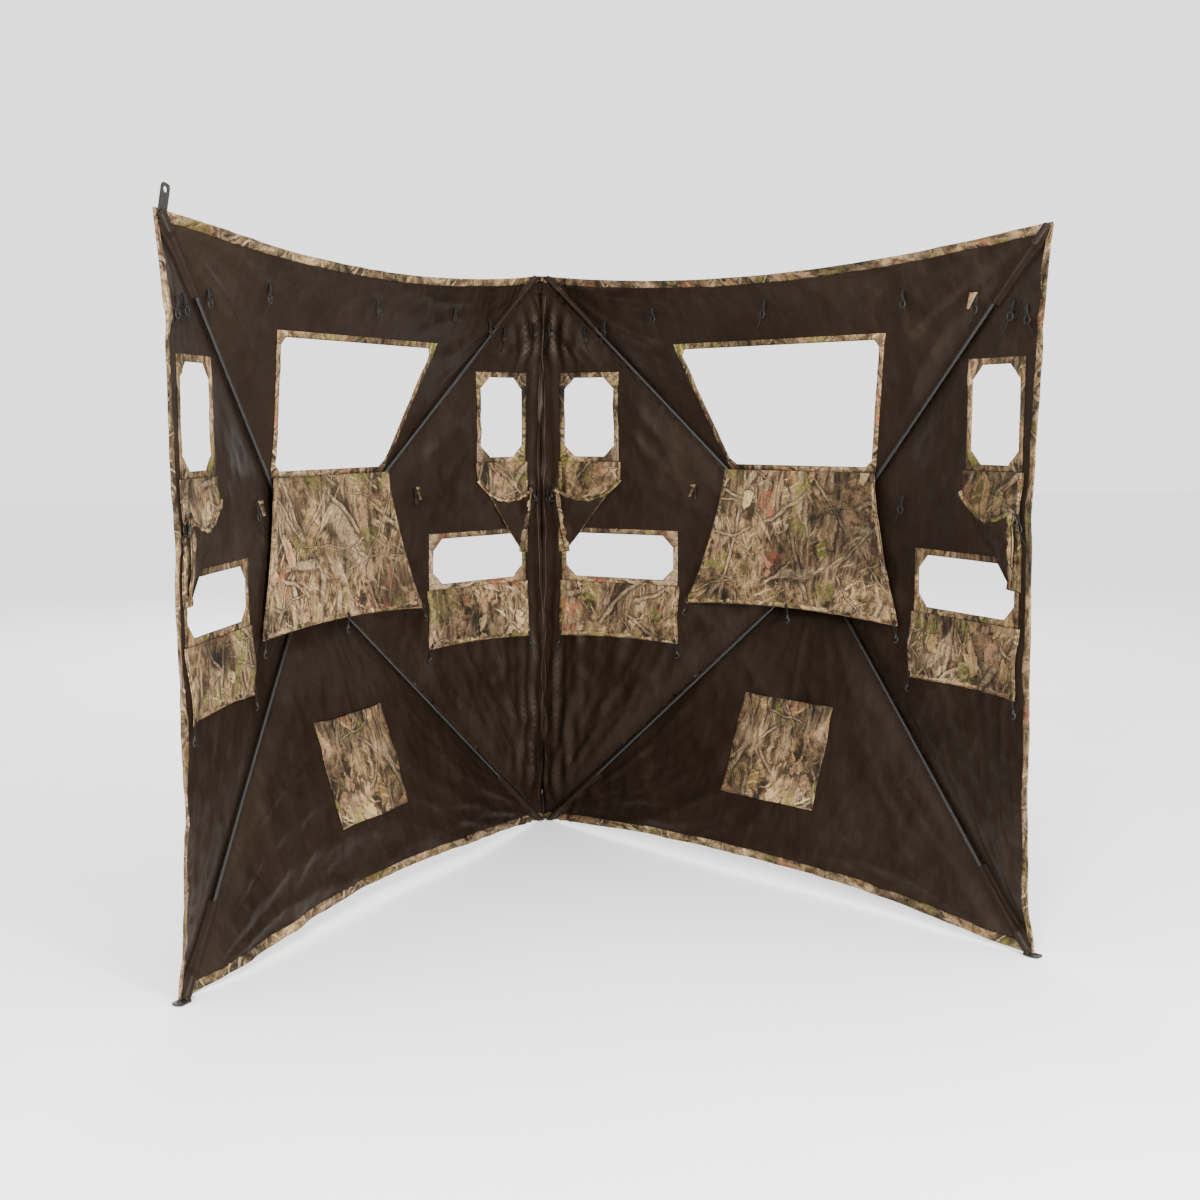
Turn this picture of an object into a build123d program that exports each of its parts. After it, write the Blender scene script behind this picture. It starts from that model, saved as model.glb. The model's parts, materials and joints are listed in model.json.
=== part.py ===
from build123d import *

import os
from math import atan, cos, radians, sin

# A two-panel pop-up ground blind: two square cloth panels joined at an upright seam.
#
# Each panel is four cloth gores stretched over four flexible poles that meet at a hub. A popped hub
# stands outward, so the panel is a shallow pyramid. The hub folds all four poles into one bundle.
#
# The right-hand panel is modelled and mirrored. Its own directions are s, from the seam along the
# panel, n, outward through the cloth, and z, up. The origin is the foot of the seam, on the ground.

# ---- Driving dimensions, in millimetres and degrees ----
PANEL_WIDTH = 1600.0
PANEL_HEIGHT = 1500.0
HUB_DEPTH = 239.0  # how far a popped hub stands outward of its panel's corners
HALF_ANGLE = 32.7  # between each panel and the plane of symmetry

TOP_SAG = 52.0  # how far each free edge curves inward at its middle
BOTTOM_RISE = 46.0
SIDE_SAG = 30.0

CLOTH = 1.5
TAPE = 1.2
HEM_WIDTH = 20.0
FRAME_TAPE = 14.0  # width of the tape round a window
POLE_LINE_GAP = 2.0  # from a gore's edge to the pole's line
SEAM_GAP = 6.0  # from a gore's edge to the seam's axis
CORNER_CUT = 92.0  # the cloth stops this far from each corner, at the boot
HUB_CUT = 62.0  # and this far from the hub's centre

ROD_RADIUS = 4.5
ROD_INSET = 7.0  # from the cloth's inner face to the rod's axis
FERRULE_RADIUS = 6.0
FERRULE_START, FERRULE_END = 22.0, 82.0  # from the hub pin, along the pole
SLEEVE_WIDTH = 24.0
SLEEVE_GAP = 0.4  # between the rod and the strip of cloth sewn over it
SLEEVE_LENGTH = 230.0
BOOT_RADIUS = 8.0
BOOT_LENGTH = 40.0
EYELET_RADIUS = 6.0
TAB_THICKNESS = 3.0
TAB_WIDTH = 26.0
TAB_LENGTH = 38.0
TIE_WIDTH = 24.0  # of the tie-down loop at the left-hand top corner
TIE_LENGTH = 58.0
TIE_LEAN = radians(14)  # from upright, toward the seam

HUB_RADIUS = 26.0
HUB_THICKNESS = 16.0
PIN_CIRCLE = 34.0
PIN_RADIUS = 2.5
PIN_CLEARANCE = 0.05
TONGUE_HALF = 3.0
TONGUE_HEIGHT = 10.0
EAR_INNER, EAR_OUTER = 3.3, 8.0
CAP_RADIUS = 24.0
CAP_THICKNESS = 7.0

FLAP_CLOTH = 1.2
FLAP_STANDOFF = 3.0  # from the wall's inner face to the back of a hanging side flap
FLAP_MARGIN = 6.0
FOLD_GAP = 1.8

SEAM_CORD_RADIUS = 3.0
FOOT_RADIUS = 12.0
FOOT_HEIGHT = 6.0

# ---- Derived sizes ----
MID = PANEL_WIDTH / 2
HUB_HEIGHT = PANEL_HEIGHT / 2
SIDE_LEAN = atan(HUB_DEPTH / MID)  # the slant of an upright gore across its panel
END_LEAN = atan(HUB_DEPTH / HUB_HEIGHT)  # the slant of the top and bottom gores
HALF = radians(HALF_ANGLE)


def place(s, n, z):
    """A point, or a direction, of the right-hand panel, in the part's frame."""
    return Vector(s * sin(HALF) + n * cos(HALF), -s * cos(HALF) + n * sin(HALF), z)


def gore_plane(corner, across, up):
    """The inner face of a gore, seen from inside: x across, y up, z inward."""
    across, up = place(*across), place(*up)
    return Plane(origin=place(*corner), x_dir=across, z_dir=across.cross(up))


GORES = {
    "inner": gore_plane((0, 0, 0), (cos(SIDE_LEAN), sin(SIDE_LEAN), 0), (0, 0, 1)),
    "outer": gore_plane((PANEL_WIDTH, 0, 0), (cos(SIDE_LEAN), -sin(SIDE_LEAN), 0), (0, 0, 1)),
    "top": gore_plane((0, 0, PANEL_HEIGHT), (1, 0, 0), (0, -sin(END_LEAN), cos(END_LEAN))),
    "bottom": gore_plane((0, 0, 0), (1, 0, 0), (0, sin(END_LEAN), cos(END_LEAN))),
}


def on_gore(gore, s, z):
    """Where the panel's point (s, z) lies in a gore's own x and y."""
    if gore == "inner":
        return (s / cos(SIDE_LEAN), z)
    if gore == "outer":
        return ((s - PANEL_WIDTH) / cos(SIDE_LEAN), z)
    if gore == "top":
        return (s, (z - PANEL_HEIGHT) / cos(END_LEAN))
    return (s, z / cos(END_LEAN))


def free_edge(gore, inset):
    """Start, middle and end of a gore's free edge, moved inward by inset."""
    width, height = PANEL_WIDTH, PANEL_HEIGHT
    edge = {
        "inner": [(inset, 0), (inset, height / 2), (inset, height)],
        "outer": [(width - inset, height), (width - SIDE_SAG - inset, height / 2), (width - inset, 0)],
        "top": [(0, height - inset), (MID, height - TOP_SAG - inset), (width, height - inset)],
        "bottom": [(width, inset), (MID, BOTTOM_RISE + inset), (0, inset)],
    }[gore]
    return [on_gore(gore, s, z) for s, z in edge]


def gore_face(gore, inset=0.0):
    """The gore's cloth, from near the hub to its free edge, cut short of the boots and the hub."""
    start, middle, end = free_edge(gore, inset)
    hub = on_gore(gore, MID, HUB_HEIGHT)
    with BuildSketch() as face:
        with BuildLine():
            if gore == "inner":
                Line(start, end)
            else:
                ThreePointArc(start, middle, end)
            Line(end, hub)
            Line(hub, start)
        make_face()
        offset(amount=-POLE_LINE_GAP, kind=Kind.INTERSECTION)
        with Locations(start, end):
            Circle(CORNER_CUT, mode=Mode.SUBTRACT)
        with Locations(hub):
            Circle(HUB_CUT, mode=Mode.SUBTRACT)
    return face.sketch


# ---- Windows: the outer line of each window's tape, as panel points (s, z) ----
SIDE_NEAR, SIDE_FAR = 64.0, 241.0
SIDE_LOW, SIDE_HIGH = 1001.0, 1239.0
WIDE_NEAR, WIDE_FAR = 66.0, 414.0
WIDE_LOW, WIDE_HIGH = 677.0, 822.0
BIG_LOW, BIG_HIGH = 986.0, 1303.0
BIG_HALF_LOW, BIG_HALF_HIGH = 235.0, 342.0


def oblong(gore, near, far, low, high):
    """The four corners of a side window, near being its distance from the upright edge."""
    first, last = (near, far) if gore == "inner" else (PANEL_WIDTH - far, PANEL_WIDTH - near)
    return [(first, low), (last, low), (last, high), (first, high)]


BIG_WINDOW = [
    (MID - BIG_HALF_LOW, BIG_LOW),
    (MID + BIG_HALF_LOW, BIG_LOW),
    (MID + BIG_HALF_HIGH, BIG_HIGH),
    (MID - BIG_HALF_HIGH, BIG_HIGH),
]
WINDOWS = {
    "inner": [
        oblong("inner", SIDE_NEAR, SIDE_FAR, SIDE_LOW, SIDE_HIGH),
        oblong("inner", WIDE_NEAR, WIDE_FAR, WIDE_LOW, WIDE_HIGH),
    ],
    "outer": [
        oblong("outer", SIDE_NEAR, SIDE_FAR, SIDE_LOW, SIDE_HIGH),
        oblong("outer", WIDE_NEAR, WIDE_FAR, WIDE_LOW, WIDE_HIGH),
    ],
    "top": [BIG_WINDOW],
    "bottom": [],
}
CORNER_GUSSET = {"inner": 30.0, "outer": 30.0, "top": 16.0}


def window_opening(gore, corners):
    """The see-through opening inside a window's tape, its corners closed by small gussets."""
    with BuildSketch() as opening:
        Polygon(*[on_gore(gore, s, z) for s, z in corners], align=None)
        offset(amount=-FRAME_TAPE, kind=Kind.INTERSECTION)
        chamfer(opening.vertices(), length=CORNER_GUSSET[gore])
    return opening.sketch


def window_outline(gore, corners):
    """The outer line of a window's tape."""
    with BuildSketch() as outline:
        Polygon(*[on_gore(gore, s, z) for s, z in corners], align=None)
    return outline.sketch


# ---- Poles: each pole's own frame, from the hub pin to the tip ----
INNER_TIP_S = 40.0
OUTER_TIP_S = PANEL_WIDTH - 11.0
LOW_TIP_Z = BOOT_RADIUS
HIGH_TIP_Z = PANEL_HEIGHT - BOOT_RADIUS
TIPS = {
    "top_inner": (INNER_TIP_S, HIGH_TIP_Z),
    "top_outer": (OUTER_TIP_S, HIGH_TIP_Z),
    "bottom_outer": (OUTER_TIP_S, LOW_TIP_Z),
    "bottom_inner": (INNER_TIP_S, LOW_TIP_Z),
}
HUB_CENTRE = (MID, HUB_DEPTH - ROD_INSET, HUB_HEIGHT)


def cloth_depth(s, z):
    """How far the cloth stands outward at the panel's point (s, z)."""
    return HUB_DEPTH * min(min(s, PANEL_WIDTH - s) / MID, min(z, PANEL_HEIGHT - z) / HUB_HEIGHT)


def pole_frame(pole):
    """The pole's plane at its hub pin: x along the pole, y outward, z along the pin. And its length."""
    s, z = TIPS[pole]
    tip = place(s, cloth_depth(s, z) - ROD_INSET, z)
    hub = place(*HUB_CENTRE)
    along = (tip - hub).normalized()
    outward = place(0, 1, 0)
    pin_axis = along.cross(outward).normalized()
    pin = hub + along * PIN_CIRCLE
    return Plane(origin=pin, x_dir=along, z_dir=pin_axis), (tip - pin).length


def across_pole(frame, distance):
    """A plane square to a pole, at a distance from its pin: x along the pin, y inward."""
    return Plane(origin=frame.origin + frame.x_dir * distance, x_dir=frame.z_dir, z_dir=frame.x_dir)


# ---- Pieces of the right-hand panel ----
def make_rod(pole):
    """A solid fibreglass rod, from inside its hub ferrule to inside its tip boot."""
    frame, length = pole_frame(pole)
    with BuildPart() as rod:
        with BuildSketch(across_pole(frame, FERRULE_START + 2)):
            Circle(ROD_RADIUS)
        extrude(amount=length - FERRULE_START - 6)
    return rod


def make_fittings(pole, tie_down=False):
    """The pole's two ends: the pinned ferrule at the hub, and the boot in the cloth's corner."""
    frame, length = pole_frame(pole)
    bore = ROD_RADIUS + 0.05
    with BuildPart() as fittings:
        with BuildSketch(frame):
            with Locations((FERRULE_START / 2, 0)):
                SlotCenterToCenter(FERRULE_START, TONGUE_HEIGHT)
            Circle(PIN_RADIUS + PIN_CLEARANCE, mode=Mode.SUBTRACT)
        extrude(amount=TONGUE_HALF, both=True)
        with BuildSketch(across_pole(frame, FERRULE_START)):
            Circle(FERRULE_RADIUS)
        extrude(amount=FERRULE_END - FERRULE_START)
        with BuildSketch(across_pole(frame, FERRULE_END)):
            Circle(bore)
        extrude(amount=FERRULE_START + 2 - FERRULE_END, mode=Mode.SUBTRACT)
        with BuildSketch(across_pole(frame, length - BOOT_LENGTH)):
            Circle(BOOT_RADIUS)
        extrude(amount=BOOT_LENGTH)
        with Locations(across_pole(frame, length)):
            Sphere(BOOT_RADIUS)
        if pole == "bottom_outer":
            add(eyelet_tab(ground_tab_plane()))
        if tie_down:
            add(eyelet_tab(tie_down_plane(), TIE_LENGTH, TIE_WIDTH))
        with BuildSketch(across_pole(frame, length - BOOT_LENGTH)):
            Circle(bore)
        extrude(amount=BOOT_LENGTH - 4, mode=Mode.SUBTRACT)
    return fittings


def eyelet_tab(plane, length=TAB_LENGTH, width=TAB_WIDTH):
    """A flat webbing tab with a round eyelet, running along x from the plane's origin."""
    with BuildPart(mode=Mode.PRIVATE) as tab:
        with BuildSketch(plane):
            with Locations((length / 2, 0)):
                RectangleRounded(length, width, width / 3)
            with Locations((length - width / 2, 0)):
                Circle(EYELET_RADIUS, mode=Mode.SUBTRACT)
        extrude(amount=TAB_THICKNESS)
    return tab.part


def tip_depth(s, z):
    return cloth_depth(s, z) - ROD_INSET


def ground_tab_plane():
    """The stake tab lies flat on the ground, out from the bottom outer corner."""
    origin = place(OUTER_TIP_S - 4, tip_depth(OUTER_TIP_S, LOW_TIP_Z), 0)
    return Plane(origin=origin, x_dir=place(1, 0, 0), z_dir=(0, 0, 1))


def tie_down_plane():
    """The tie-down loop stands up from the top outer corner, in the panel's flat, and leans to the seam."""
    origin = place(OUTER_TIP_S, tip_depth(OUTER_TIP_S, HIGH_TIP_Z) + TAB_THICKNESS / 2, HIGH_TIP_Z - 2)
    return Plane(origin=origin, x_dir=place(-sin(TIE_LEAN), 0, cos(TIE_LEAN)), z_dir=place(0, -1, 0))


SLEEVE_POLE = {
    "top": "top_inner",
    "outer": "top_outer",
    "bottom": "bottom_outer",
    "inner": "bottom_inner",
}


def make_wall(gore):
    """A gore's cloth with its window openings, and the strip sewn over its pole's outer end."""
    frame, length = pole_frame(SLEEVE_POLE[gore])
    with BuildPart() as wall:
        with BuildSketch(GORES[gore]):
            add(gore_face(gore, SEAM_GAP if gore == "inner" else 0.0))
            for corners in WINDOWS[gore]:
                add(window_opening(gore, corners), mode=Mode.SUBTRACT)
        extrude(amount=-CLOTH)
        with BuildSketch(across_pole(frame, length - BOOT_LENGTH - 4 - SLEEVE_LENGTH)):
            with Locations((0, ROD_RADIUS + SLEEVE_GAP + TAPE / 2)):
                Rectangle(SLEEVE_WIDTH, TAPE)
        extrude(amount=SLEEVE_LENGTH)
    return wall


def make_trim(gore):
    """The camouflage hem along a gore's free edge, and the tape round each of its windows."""
    with BuildPart() as trim:
        with BuildSketch(GORES[gore]):
            for corners in WINDOWS[gore]:
                add(window_outline(gore, corners))
                add(window_opening(gore, corners), mode=Mode.SUBTRACT)
            if gore != "inner":
                add(hem_outline(gore))
        extrude(amount=TAPE)
    return trim


def hem_outline(gore):
    """The strip between a gore's free edge and the same edge moved inward by the hem's width."""
    start, middle, end = free_edge(gore, HEM_WIDTH)
    hub = on_gore(gore, MID, HUB_HEIGHT)
    past_hub = Vector(hub) * 1.4 - Vector(middle) * 0.4
    spread = (Vector(end) - Vector(start)) * 0.5
    with BuildSketch() as hem:
        add(gore_face(gore))
        with BuildSketch(mode=Mode.SUBTRACT):
            with BuildLine():
                ThreePointArc(start, middle, end)
                Line(end, past_hub + spread)
                Line(past_hub + spread, past_hub - spread)
                Line(past_hub - spread, start)
            make_face()
    return hem.sketch


POCKET_HALF, POCKET_LOW, POCKET_HIGH = 148.0, 182.0, 424.0
POCKET_DEPTH = 6.0


def make_pocket():
    """The flat storage pocket sewn to the bottom gore, hollow and open along its top."""
    plane = GORES["bottom"]
    corners = [
        (MID - POCKET_HALF, POCKET_LOW),
        (MID + POCKET_HALF, POCKET_LOW),
        (MID + POCKET_HALF, POCKET_HIGH),
        (MID - POCKET_HALF, POCKET_HIGH),
    ]
    _, top = on_gore("bottom", MID, POCKET_HIGH)
    _, low = on_gore("bottom", MID, POCKET_LOW)
    with BuildPart() as pocket:
        with BuildSketch(plane):
            Polygon(*[on_gore("bottom", s, z) for s, z in corners], align=None)
        extrude(amount=POCKET_DEPTH)
        with BuildSketch(plane.offset(TAPE)):
            with Locations((MID, (top + low) / 2 + 5)):
                Rectangle(2 * POCKET_HALF - 12, top - low)
        extrude(amount=POCKET_DEPTH - 2 * TAPE, mode=Mode.SUBTRACT)
    return pocket


# ---- Flaps ----
BIG_FLAP_TILT = 5.5
BIG_FLAP_LENGTH = 352.0
BIG_FLAP_INSET = 13.0
BIG_FLAP_SPREAD = BIG_HALF_HIGH - BIG_HALF_LOW


def big_flap_plane():
    """The large flap's hinge line under the large window: x across, y up the flap, z inward."""
    tilt = radians(BIG_FLAP_TILT)
    depth = cloth_depth(MID, BIG_LOW) - BIG_FLAP_INSET
    up = place(0, sin(tilt), cos(tilt))
    return Plane(origin=place(MID, depth, BIG_LOW), x_dir=place(1, 0, 0), z_dir=place(1, 0, 0).cross(up))


def make_big_flap():
    """The large window's flap, hanging open, as wide at its free edge as the window is at its top."""
    half_top = BIG_HALF_LOW + FLAP_MARGIN
    half_low = half_top + BIG_FLAP_SPREAD
    with BuildPart() as flap:
        with BuildSketch(big_flap_plane()):
            Polygon(
                (-half_top, 0),
                (-half_low, -BIG_FLAP_LENGTH),
                (half_low, -BIG_FLAP_LENGTH),
                (half_top, 0),
                align=None,
            )
        extrude(amount=FLAP_CLOTH / 2, both=True)
    return flap


def side_flap_plane(gore, near, far, low):
    """A side flap's hinge line under its window: x across, y up, z inward, at the line's middle."""
    middle = (near + far) / 2 if gore == "inner" else PANEL_WIDTH - (near + far) / 2
    x, y = on_gore(gore, middle, low)
    plane = GORES[gore]
    height = FLAP_STANDOFF + FLAP_CLOTH / 2
    origin = plane.origin + plane.x_dir * x + plane.y_dir * y + plane.z_dir * height
    return Plane(origin=origin, x_dir=plane.x_dir, z_dir=plane.z_dir)


WIDE_FLAP_LENGTH = WIDE_HIGH - WIDE_LOW + 8.0
TALL_FLAP_LENGTH = SIDE_HIGH - SIDE_LOW + 8.0
HOOK_DROP = 72.0  # from the hinge line down to the loop that holds the folded corner


def half_width(near, far):
    return (far - near) / 2 / cos(SIDE_LEAN) + FLAP_MARGIN


def make_wide_flap(gore):
    """A low side window's flap, hanging open below it."""
    plane = side_flap_plane(gore, WIDE_NEAR, WIDE_FAR, WIDE_LOW)
    half = half_width(WIDE_NEAR, WIDE_FAR)
    with BuildPart() as flap:
        with BuildSketch(plane):
            with Locations((0, -WIDE_FLAP_LENGTH / 2)):
                Rectangle(2 * half, WIDE_FLAP_LENGTH)
        extrude(amount=FLAP_CLOTH / 2, both=True)
    return flap


def fold_line(gore):
    """The slanting fold of a tall flap: its two ends, and where its folded corner is hooked.

    The free corner away from the panel's upright edge is folded up and hooked back beside that edge.
    """
    half = half_width(SIDE_NEAR, SIDE_FAR)
    away = half if gore == "inner" else -half
    corner = Vector(away, -TALL_FLAP_LENGTH)
    hook = Vector(-away * 1.04, -HOOK_DROP)
    middle = (corner + hook) * 0.5
    slope = (hook - corner).rotate(Axis.Z, 90)
    low_end = middle + slope * ((-TALL_FLAP_LENGTH - middle.Y) / slope.Y)
    high_end = middle + slope * ((away - middle.X) / slope.X)
    return low_end, high_end, hook


def make_tall_flap(gore):
    """A high side window's flap, hanging open, down to the slanting fold."""
    plane = side_flap_plane(gore, SIDE_NEAR, SIDE_FAR, SIDE_LOW)
    low_end, high_end, _ = fold_line(gore)
    away = high_end.X
    with BuildPart() as flap:
        with BuildSketch(plane):
            Polygon(
                (-away, 0),
                (-away, -TALL_FLAP_LENGTH),
                (low_end.X, low_end.Y),
                (high_end.X, high_end.Y),
                (away, 0),
                align=None,
            )
        extrude(amount=FLAP_CLOTH / 2, both=True)
    return flap


def make_flap_corner(gore):
    """The tall flap's folded corner, lying against its inside."""
    plane = side_flap_plane(gore, SIDE_NEAR, SIDE_FAR, SIDE_LOW)
    with BuildPart() as corner:
        with BuildSketch(plane.offset(FLAP_CLOTH / 2 + FOLD_GAP)):
            Polygon(*[(p.X, p.Y) for p in fold_line(gore)], align=None)
        extrude(amount=FLAP_CLOTH)
    return corner


# ---- Hub ----
def make_hub_plate():
    """The hub's moulded body: a thick disc with a pair of ears for each pole."""
    with BuildPart() as plate:
        with BuildSketch(hub_face().offset(-HUB_THICKNESS)):
            Circle(HUB_RADIUS)
        extrude(amount=HUB_THICKNESS)
        for pole in TIPS:
            frame, _ = pole_frame(pole)
            for side in (1, -1):
                with BuildSketch(frame.offset(side * (EAR_INNER + EAR_OUTER) / 2)):
                    with Locations((-7, -3)):
                        Rectangle(14, 8)
                    Circle(7)
                    Circle(PIN_RADIUS, mode=Mode.SUBTRACT)
                extrude(amount=(EAR_OUTER - EAR_INNER) / 2, both=True)
    return plate


def make_hub_pins():
    """The four pins that the pole ferrules turn on."""
    with BuildPart() as pins:
        for pole in TIPS:
            frame, _ = pole_frame(pole)
            with BuildSketch(frame.offset(-EAR_OUTER - 1)):
                Circle(PIN_RADIUS)
            extrude(amount=2 * EAR_OUTER + 2)
    return pins


CAP_BASE = 0.5  # the cap stands this far off the hub plate's outer face
BAR_RADIUS = 2.2


def hub_face():
    """The hub's outer face: x along the panel, z outward."""
    return Plane(origin=place(*HUB_CENTRE), x_dir=place(1, 0, 0), z_dir=place(0, 1, 0))


def make_hub_cap():
    """The domed cap outside the cloth, with two small ears for the pull loop's bar."""
    face = hub_face()
    with BuildPart() as cap:
        with BuildSketch(face):
            Circle(7)
        extrude(amount=CAP_BASE)
        with BuildSketch(face.offset(CAP_BASE)):
            Circle(CAP_RADIUS)
        extrude(amount=CAP_THICKNESS)
        circles = cap.edges().filter_by(GeomType.CIRCLE)
        rim = circles.sort_by(lambda e: (e.center() - face.origin).dot(face.z_dir))[-1]
        fillet(rim, 3)
        for side in (1, -1):
            ear = Plane(
                origin=place(MID + side * 20.0, HUB_CENTRE[1] + CAP_BASE + CAP_THICKNESS - 1, HUB_HEIGHT),
                x_dir=place(0, 1, 0),
                z_dir=place(1, 0, 0),
            )
            with BuildSketch(ear):
                with Locations((3.5, 0)):
                    Rectangle(7, 11)
                with Locations((7, 0)):
                    Circle(5.5)
                    Circle(BAR_RADIUS + PIN_CLEARANCE, mode=Mode.SUBTRACT)
            extrude(amount=1.5, both=True)
    return cap


LOOP_LENGTH = 70.0
LOOP_HALF = 15.0


def loop_bar():
    """The middle of the pull loop's bar."""
    return place(MID, HUB_CENTRE[1] + CAP_BASE + CAP_THICKNESS - 1 + 7, HUB_HEIGHT)


def make_pull_loop():
    """The webbing loop that pulls the hub out, hanging from a bar in the cap's ears."""
    flat = Plane(origin=loop_bar(), x_dir=place(1, 0, 0), z_dir=place(0, 1, 0))
    bar = Plane(origin=loop_bar(), x_dir=place(0, 1, 0), z_dir=place(1, 0, 0))
    with BuildPart() as loop:
        with BuildSketch(bar.offset(-22)):
            Circle(BAR_RADIUS)
        extrude(amount=44)
        with BuildSketch(flat):
            with Locations((0, LOOP_LENGTH / 2)):
                RectangleRounded(2 * LOOP_HALF, LOOP_LENGTH, 5)
            with Locations((0, LOOP_LENGTH / 2)):
                RectangleRounded(2 * LOOP_HALF - 8, LOOP_LENGTH - 8, 3, mode=Mode.SUBTRACT)
        extrude(amount=1.5, both=True)
    return loop


# ---- Seam ----
def make_seam_tape():
    """The reinforcing tape down a panel's edge of the seam."""
    plane = GORES["inner"].offset(TAPE + 1.0)
    with BuildPart() as tape:
        with BuildSketch(plane):
            with Locations((SEAM_GAP + 8.0, HUB_HEIGHT)):
                Rectangle(12, PANEL_HEIGHT - 90)
        extrude(amount=TAPE)
    return tape


def make_seam_cord():
    """The piping cord in the seam, which the panels swing about."""
    with BuildPart() as cord:
        with BuildSketch(Plane.XY.offset(FOOT_HEIGHT)):
            Circle(SEAM_CORD_RADIUS)
        extrude(amount=PANEL_HEIGHT - FOOT_HEIGHT)
    return cord


def make_seam_foot():
    """The moulded foot under the seam, with an eyelet for a stake behind it."""
    with BuildPart() as foot:
        with BuildSketch(Plane.XY):
            Circle(FOOT_RADIUS)
        extrude(amount=FOOT_HEIGHT)
        add(eyelet_tab(Plane(origin=(0, 0, 0), x_dir=(0, 1, 0), z_dir=(0, 0, 1))))
    return foot


def write_piece(part, name):
    part.label = name
    export_step(part, f"parts/{name}.step")


def write_left(piece, name):
    """The mirror image of a right-hand piece, in the left-hand panel."""
    with BuildPart() as twin:
        mirror(piece.part, about=Plane.YZ)
    write_piece(twin.part, f"left_{name}")


def write_pair(piece, name):
    write_piece(piece.part, f"right_{name}")
    write_left(piece, name)


def main():
    os.makedirs("parts", exist_ok=True)
    write_piece(make_seam_cord().part, "seam_cord")
    write_piece(make_seam_foot().part, "seam_foot")
    write_pair(make_seam_tape(), "seam_tape")
    for pole in TIPS:
        write_pair(make_rod(pole), f"{pole}_rod")
        write_piece(make_fittings(pole).part, f"right_{pole}_pole_ends")
        write_left(make_fittings(pole, tie_down=pole == "top_outer"), f"{pole}_pole_ends")
    for gore in GORES:
        write_pair(make_wall(gore), f"{gore}_wall")
        write_pair(make_trim(gore), f"{gore}_trim")
    write_pair(make_pocket(), "pocket")
    write_pair(make_big_flap(), "big_flap")
    for gore in ("inner", "outer"):
        write_pair(make_wide_flap(gore), f"{gore}_wide_flap")
        write_pair(make_tall_flap(gore), f"{gore}_tall_flap")
        write_pair(make_flap_corner(gore), f"{gore}_flap_corner")
    write_pair(make_hub_plate(), "hub_plate")
    write_pair(make_hub_pins(), "hub_pins")
    write_pair(make_hub_cap(), "hub_cap")
    write_pair(make_pull_loop(), "pull_loop")


main()
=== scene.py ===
"""The looks of a two-panel pop-up ground blind: dark cloth walls with camouflage outside, on poles.

Each panel has its own directions: s from the seam along the panel, n outward through the cloth, and
z up. A cloth is drawn flat in (s, z), or in a flap's own plane, and then laid on its curved surface.
"""

import json
from math import atan, cos, pi, radians, sin

import bmesh
import bpy
import numpy as np
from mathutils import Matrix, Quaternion, Vector
from mathutils.bvhtree import BVHTree
from mathutils.geometry import barycentric_transform, delaunay_2d_cdt

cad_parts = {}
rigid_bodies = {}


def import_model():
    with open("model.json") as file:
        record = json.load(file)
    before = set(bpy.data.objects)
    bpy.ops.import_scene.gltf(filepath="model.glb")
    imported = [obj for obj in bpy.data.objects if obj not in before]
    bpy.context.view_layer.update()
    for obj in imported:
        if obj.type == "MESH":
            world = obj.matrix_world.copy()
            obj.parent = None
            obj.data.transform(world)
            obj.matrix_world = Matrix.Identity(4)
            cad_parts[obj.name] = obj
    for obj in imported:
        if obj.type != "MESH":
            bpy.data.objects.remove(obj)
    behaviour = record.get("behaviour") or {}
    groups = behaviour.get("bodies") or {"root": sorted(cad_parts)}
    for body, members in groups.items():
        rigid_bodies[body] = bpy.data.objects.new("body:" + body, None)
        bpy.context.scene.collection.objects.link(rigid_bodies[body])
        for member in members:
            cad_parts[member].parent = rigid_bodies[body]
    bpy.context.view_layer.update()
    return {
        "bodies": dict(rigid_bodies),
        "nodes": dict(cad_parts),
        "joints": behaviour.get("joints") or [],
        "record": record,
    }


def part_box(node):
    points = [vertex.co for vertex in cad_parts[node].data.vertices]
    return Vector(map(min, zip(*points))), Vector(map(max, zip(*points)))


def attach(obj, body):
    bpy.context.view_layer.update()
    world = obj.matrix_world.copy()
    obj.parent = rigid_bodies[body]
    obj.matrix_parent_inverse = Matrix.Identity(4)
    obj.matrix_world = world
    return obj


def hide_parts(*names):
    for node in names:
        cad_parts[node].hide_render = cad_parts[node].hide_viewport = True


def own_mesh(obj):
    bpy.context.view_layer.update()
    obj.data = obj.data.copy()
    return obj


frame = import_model()

# ---- Driving dimensions, in metres and radians, as in the CAD model ----
WIDTH = 1.600
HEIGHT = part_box("seam_cord")[1].z
DEPTH = 0.239
HALF_ANGLE = radians(32.7)
MID, HUB_Z = WIDTH / 2, HEIGHT / 2
TOP_SAG, BOTTOM_RISE, SIDE_SAG = 0.052, 0.046, 0.030
ROD_INSET = 0.007
CLOTH = 0.0011
HUB_HOLE = 0.017  # radius of the hole in the cloth under the hub
SLEEVE_LENGTH, SLEEVE_HALF, SLEEVE_THICK = 0.205, 0.0165, 0.0008
ON_WALL = 0.0016  # how far what is sewn on a wall stands inward of it
FLAP_HEM = 0.011
FRAME_TAPE = 0.014
SIDE_NEAR, SIDE_FAR, SIDE_LOW, SIDE_HIGH = 0.064, 0.241, 1.001, 1.239
WIDE_NEAR, WIDE_FAR, WIDE_LOW, WIDE_HIGH = 0.066, 0.414, 0.677, 0.822
BIG_LOW, BIG_HIGH, BIG_HALF_LOW, BIG_HALF_HIGH = 0.986, 1.303, 0.235, 0.342
POCKET_HALF, POCKET_LOW, POCKET_HIGH = 0.148, 0.182, 0.424
SIDES = {"left": -1, "right": 1}
POLE_OF = {"top": "top_inner", "outer": "top_outer", "bottom": "bottom_outer", "inner": "bottom_inner"}
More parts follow.
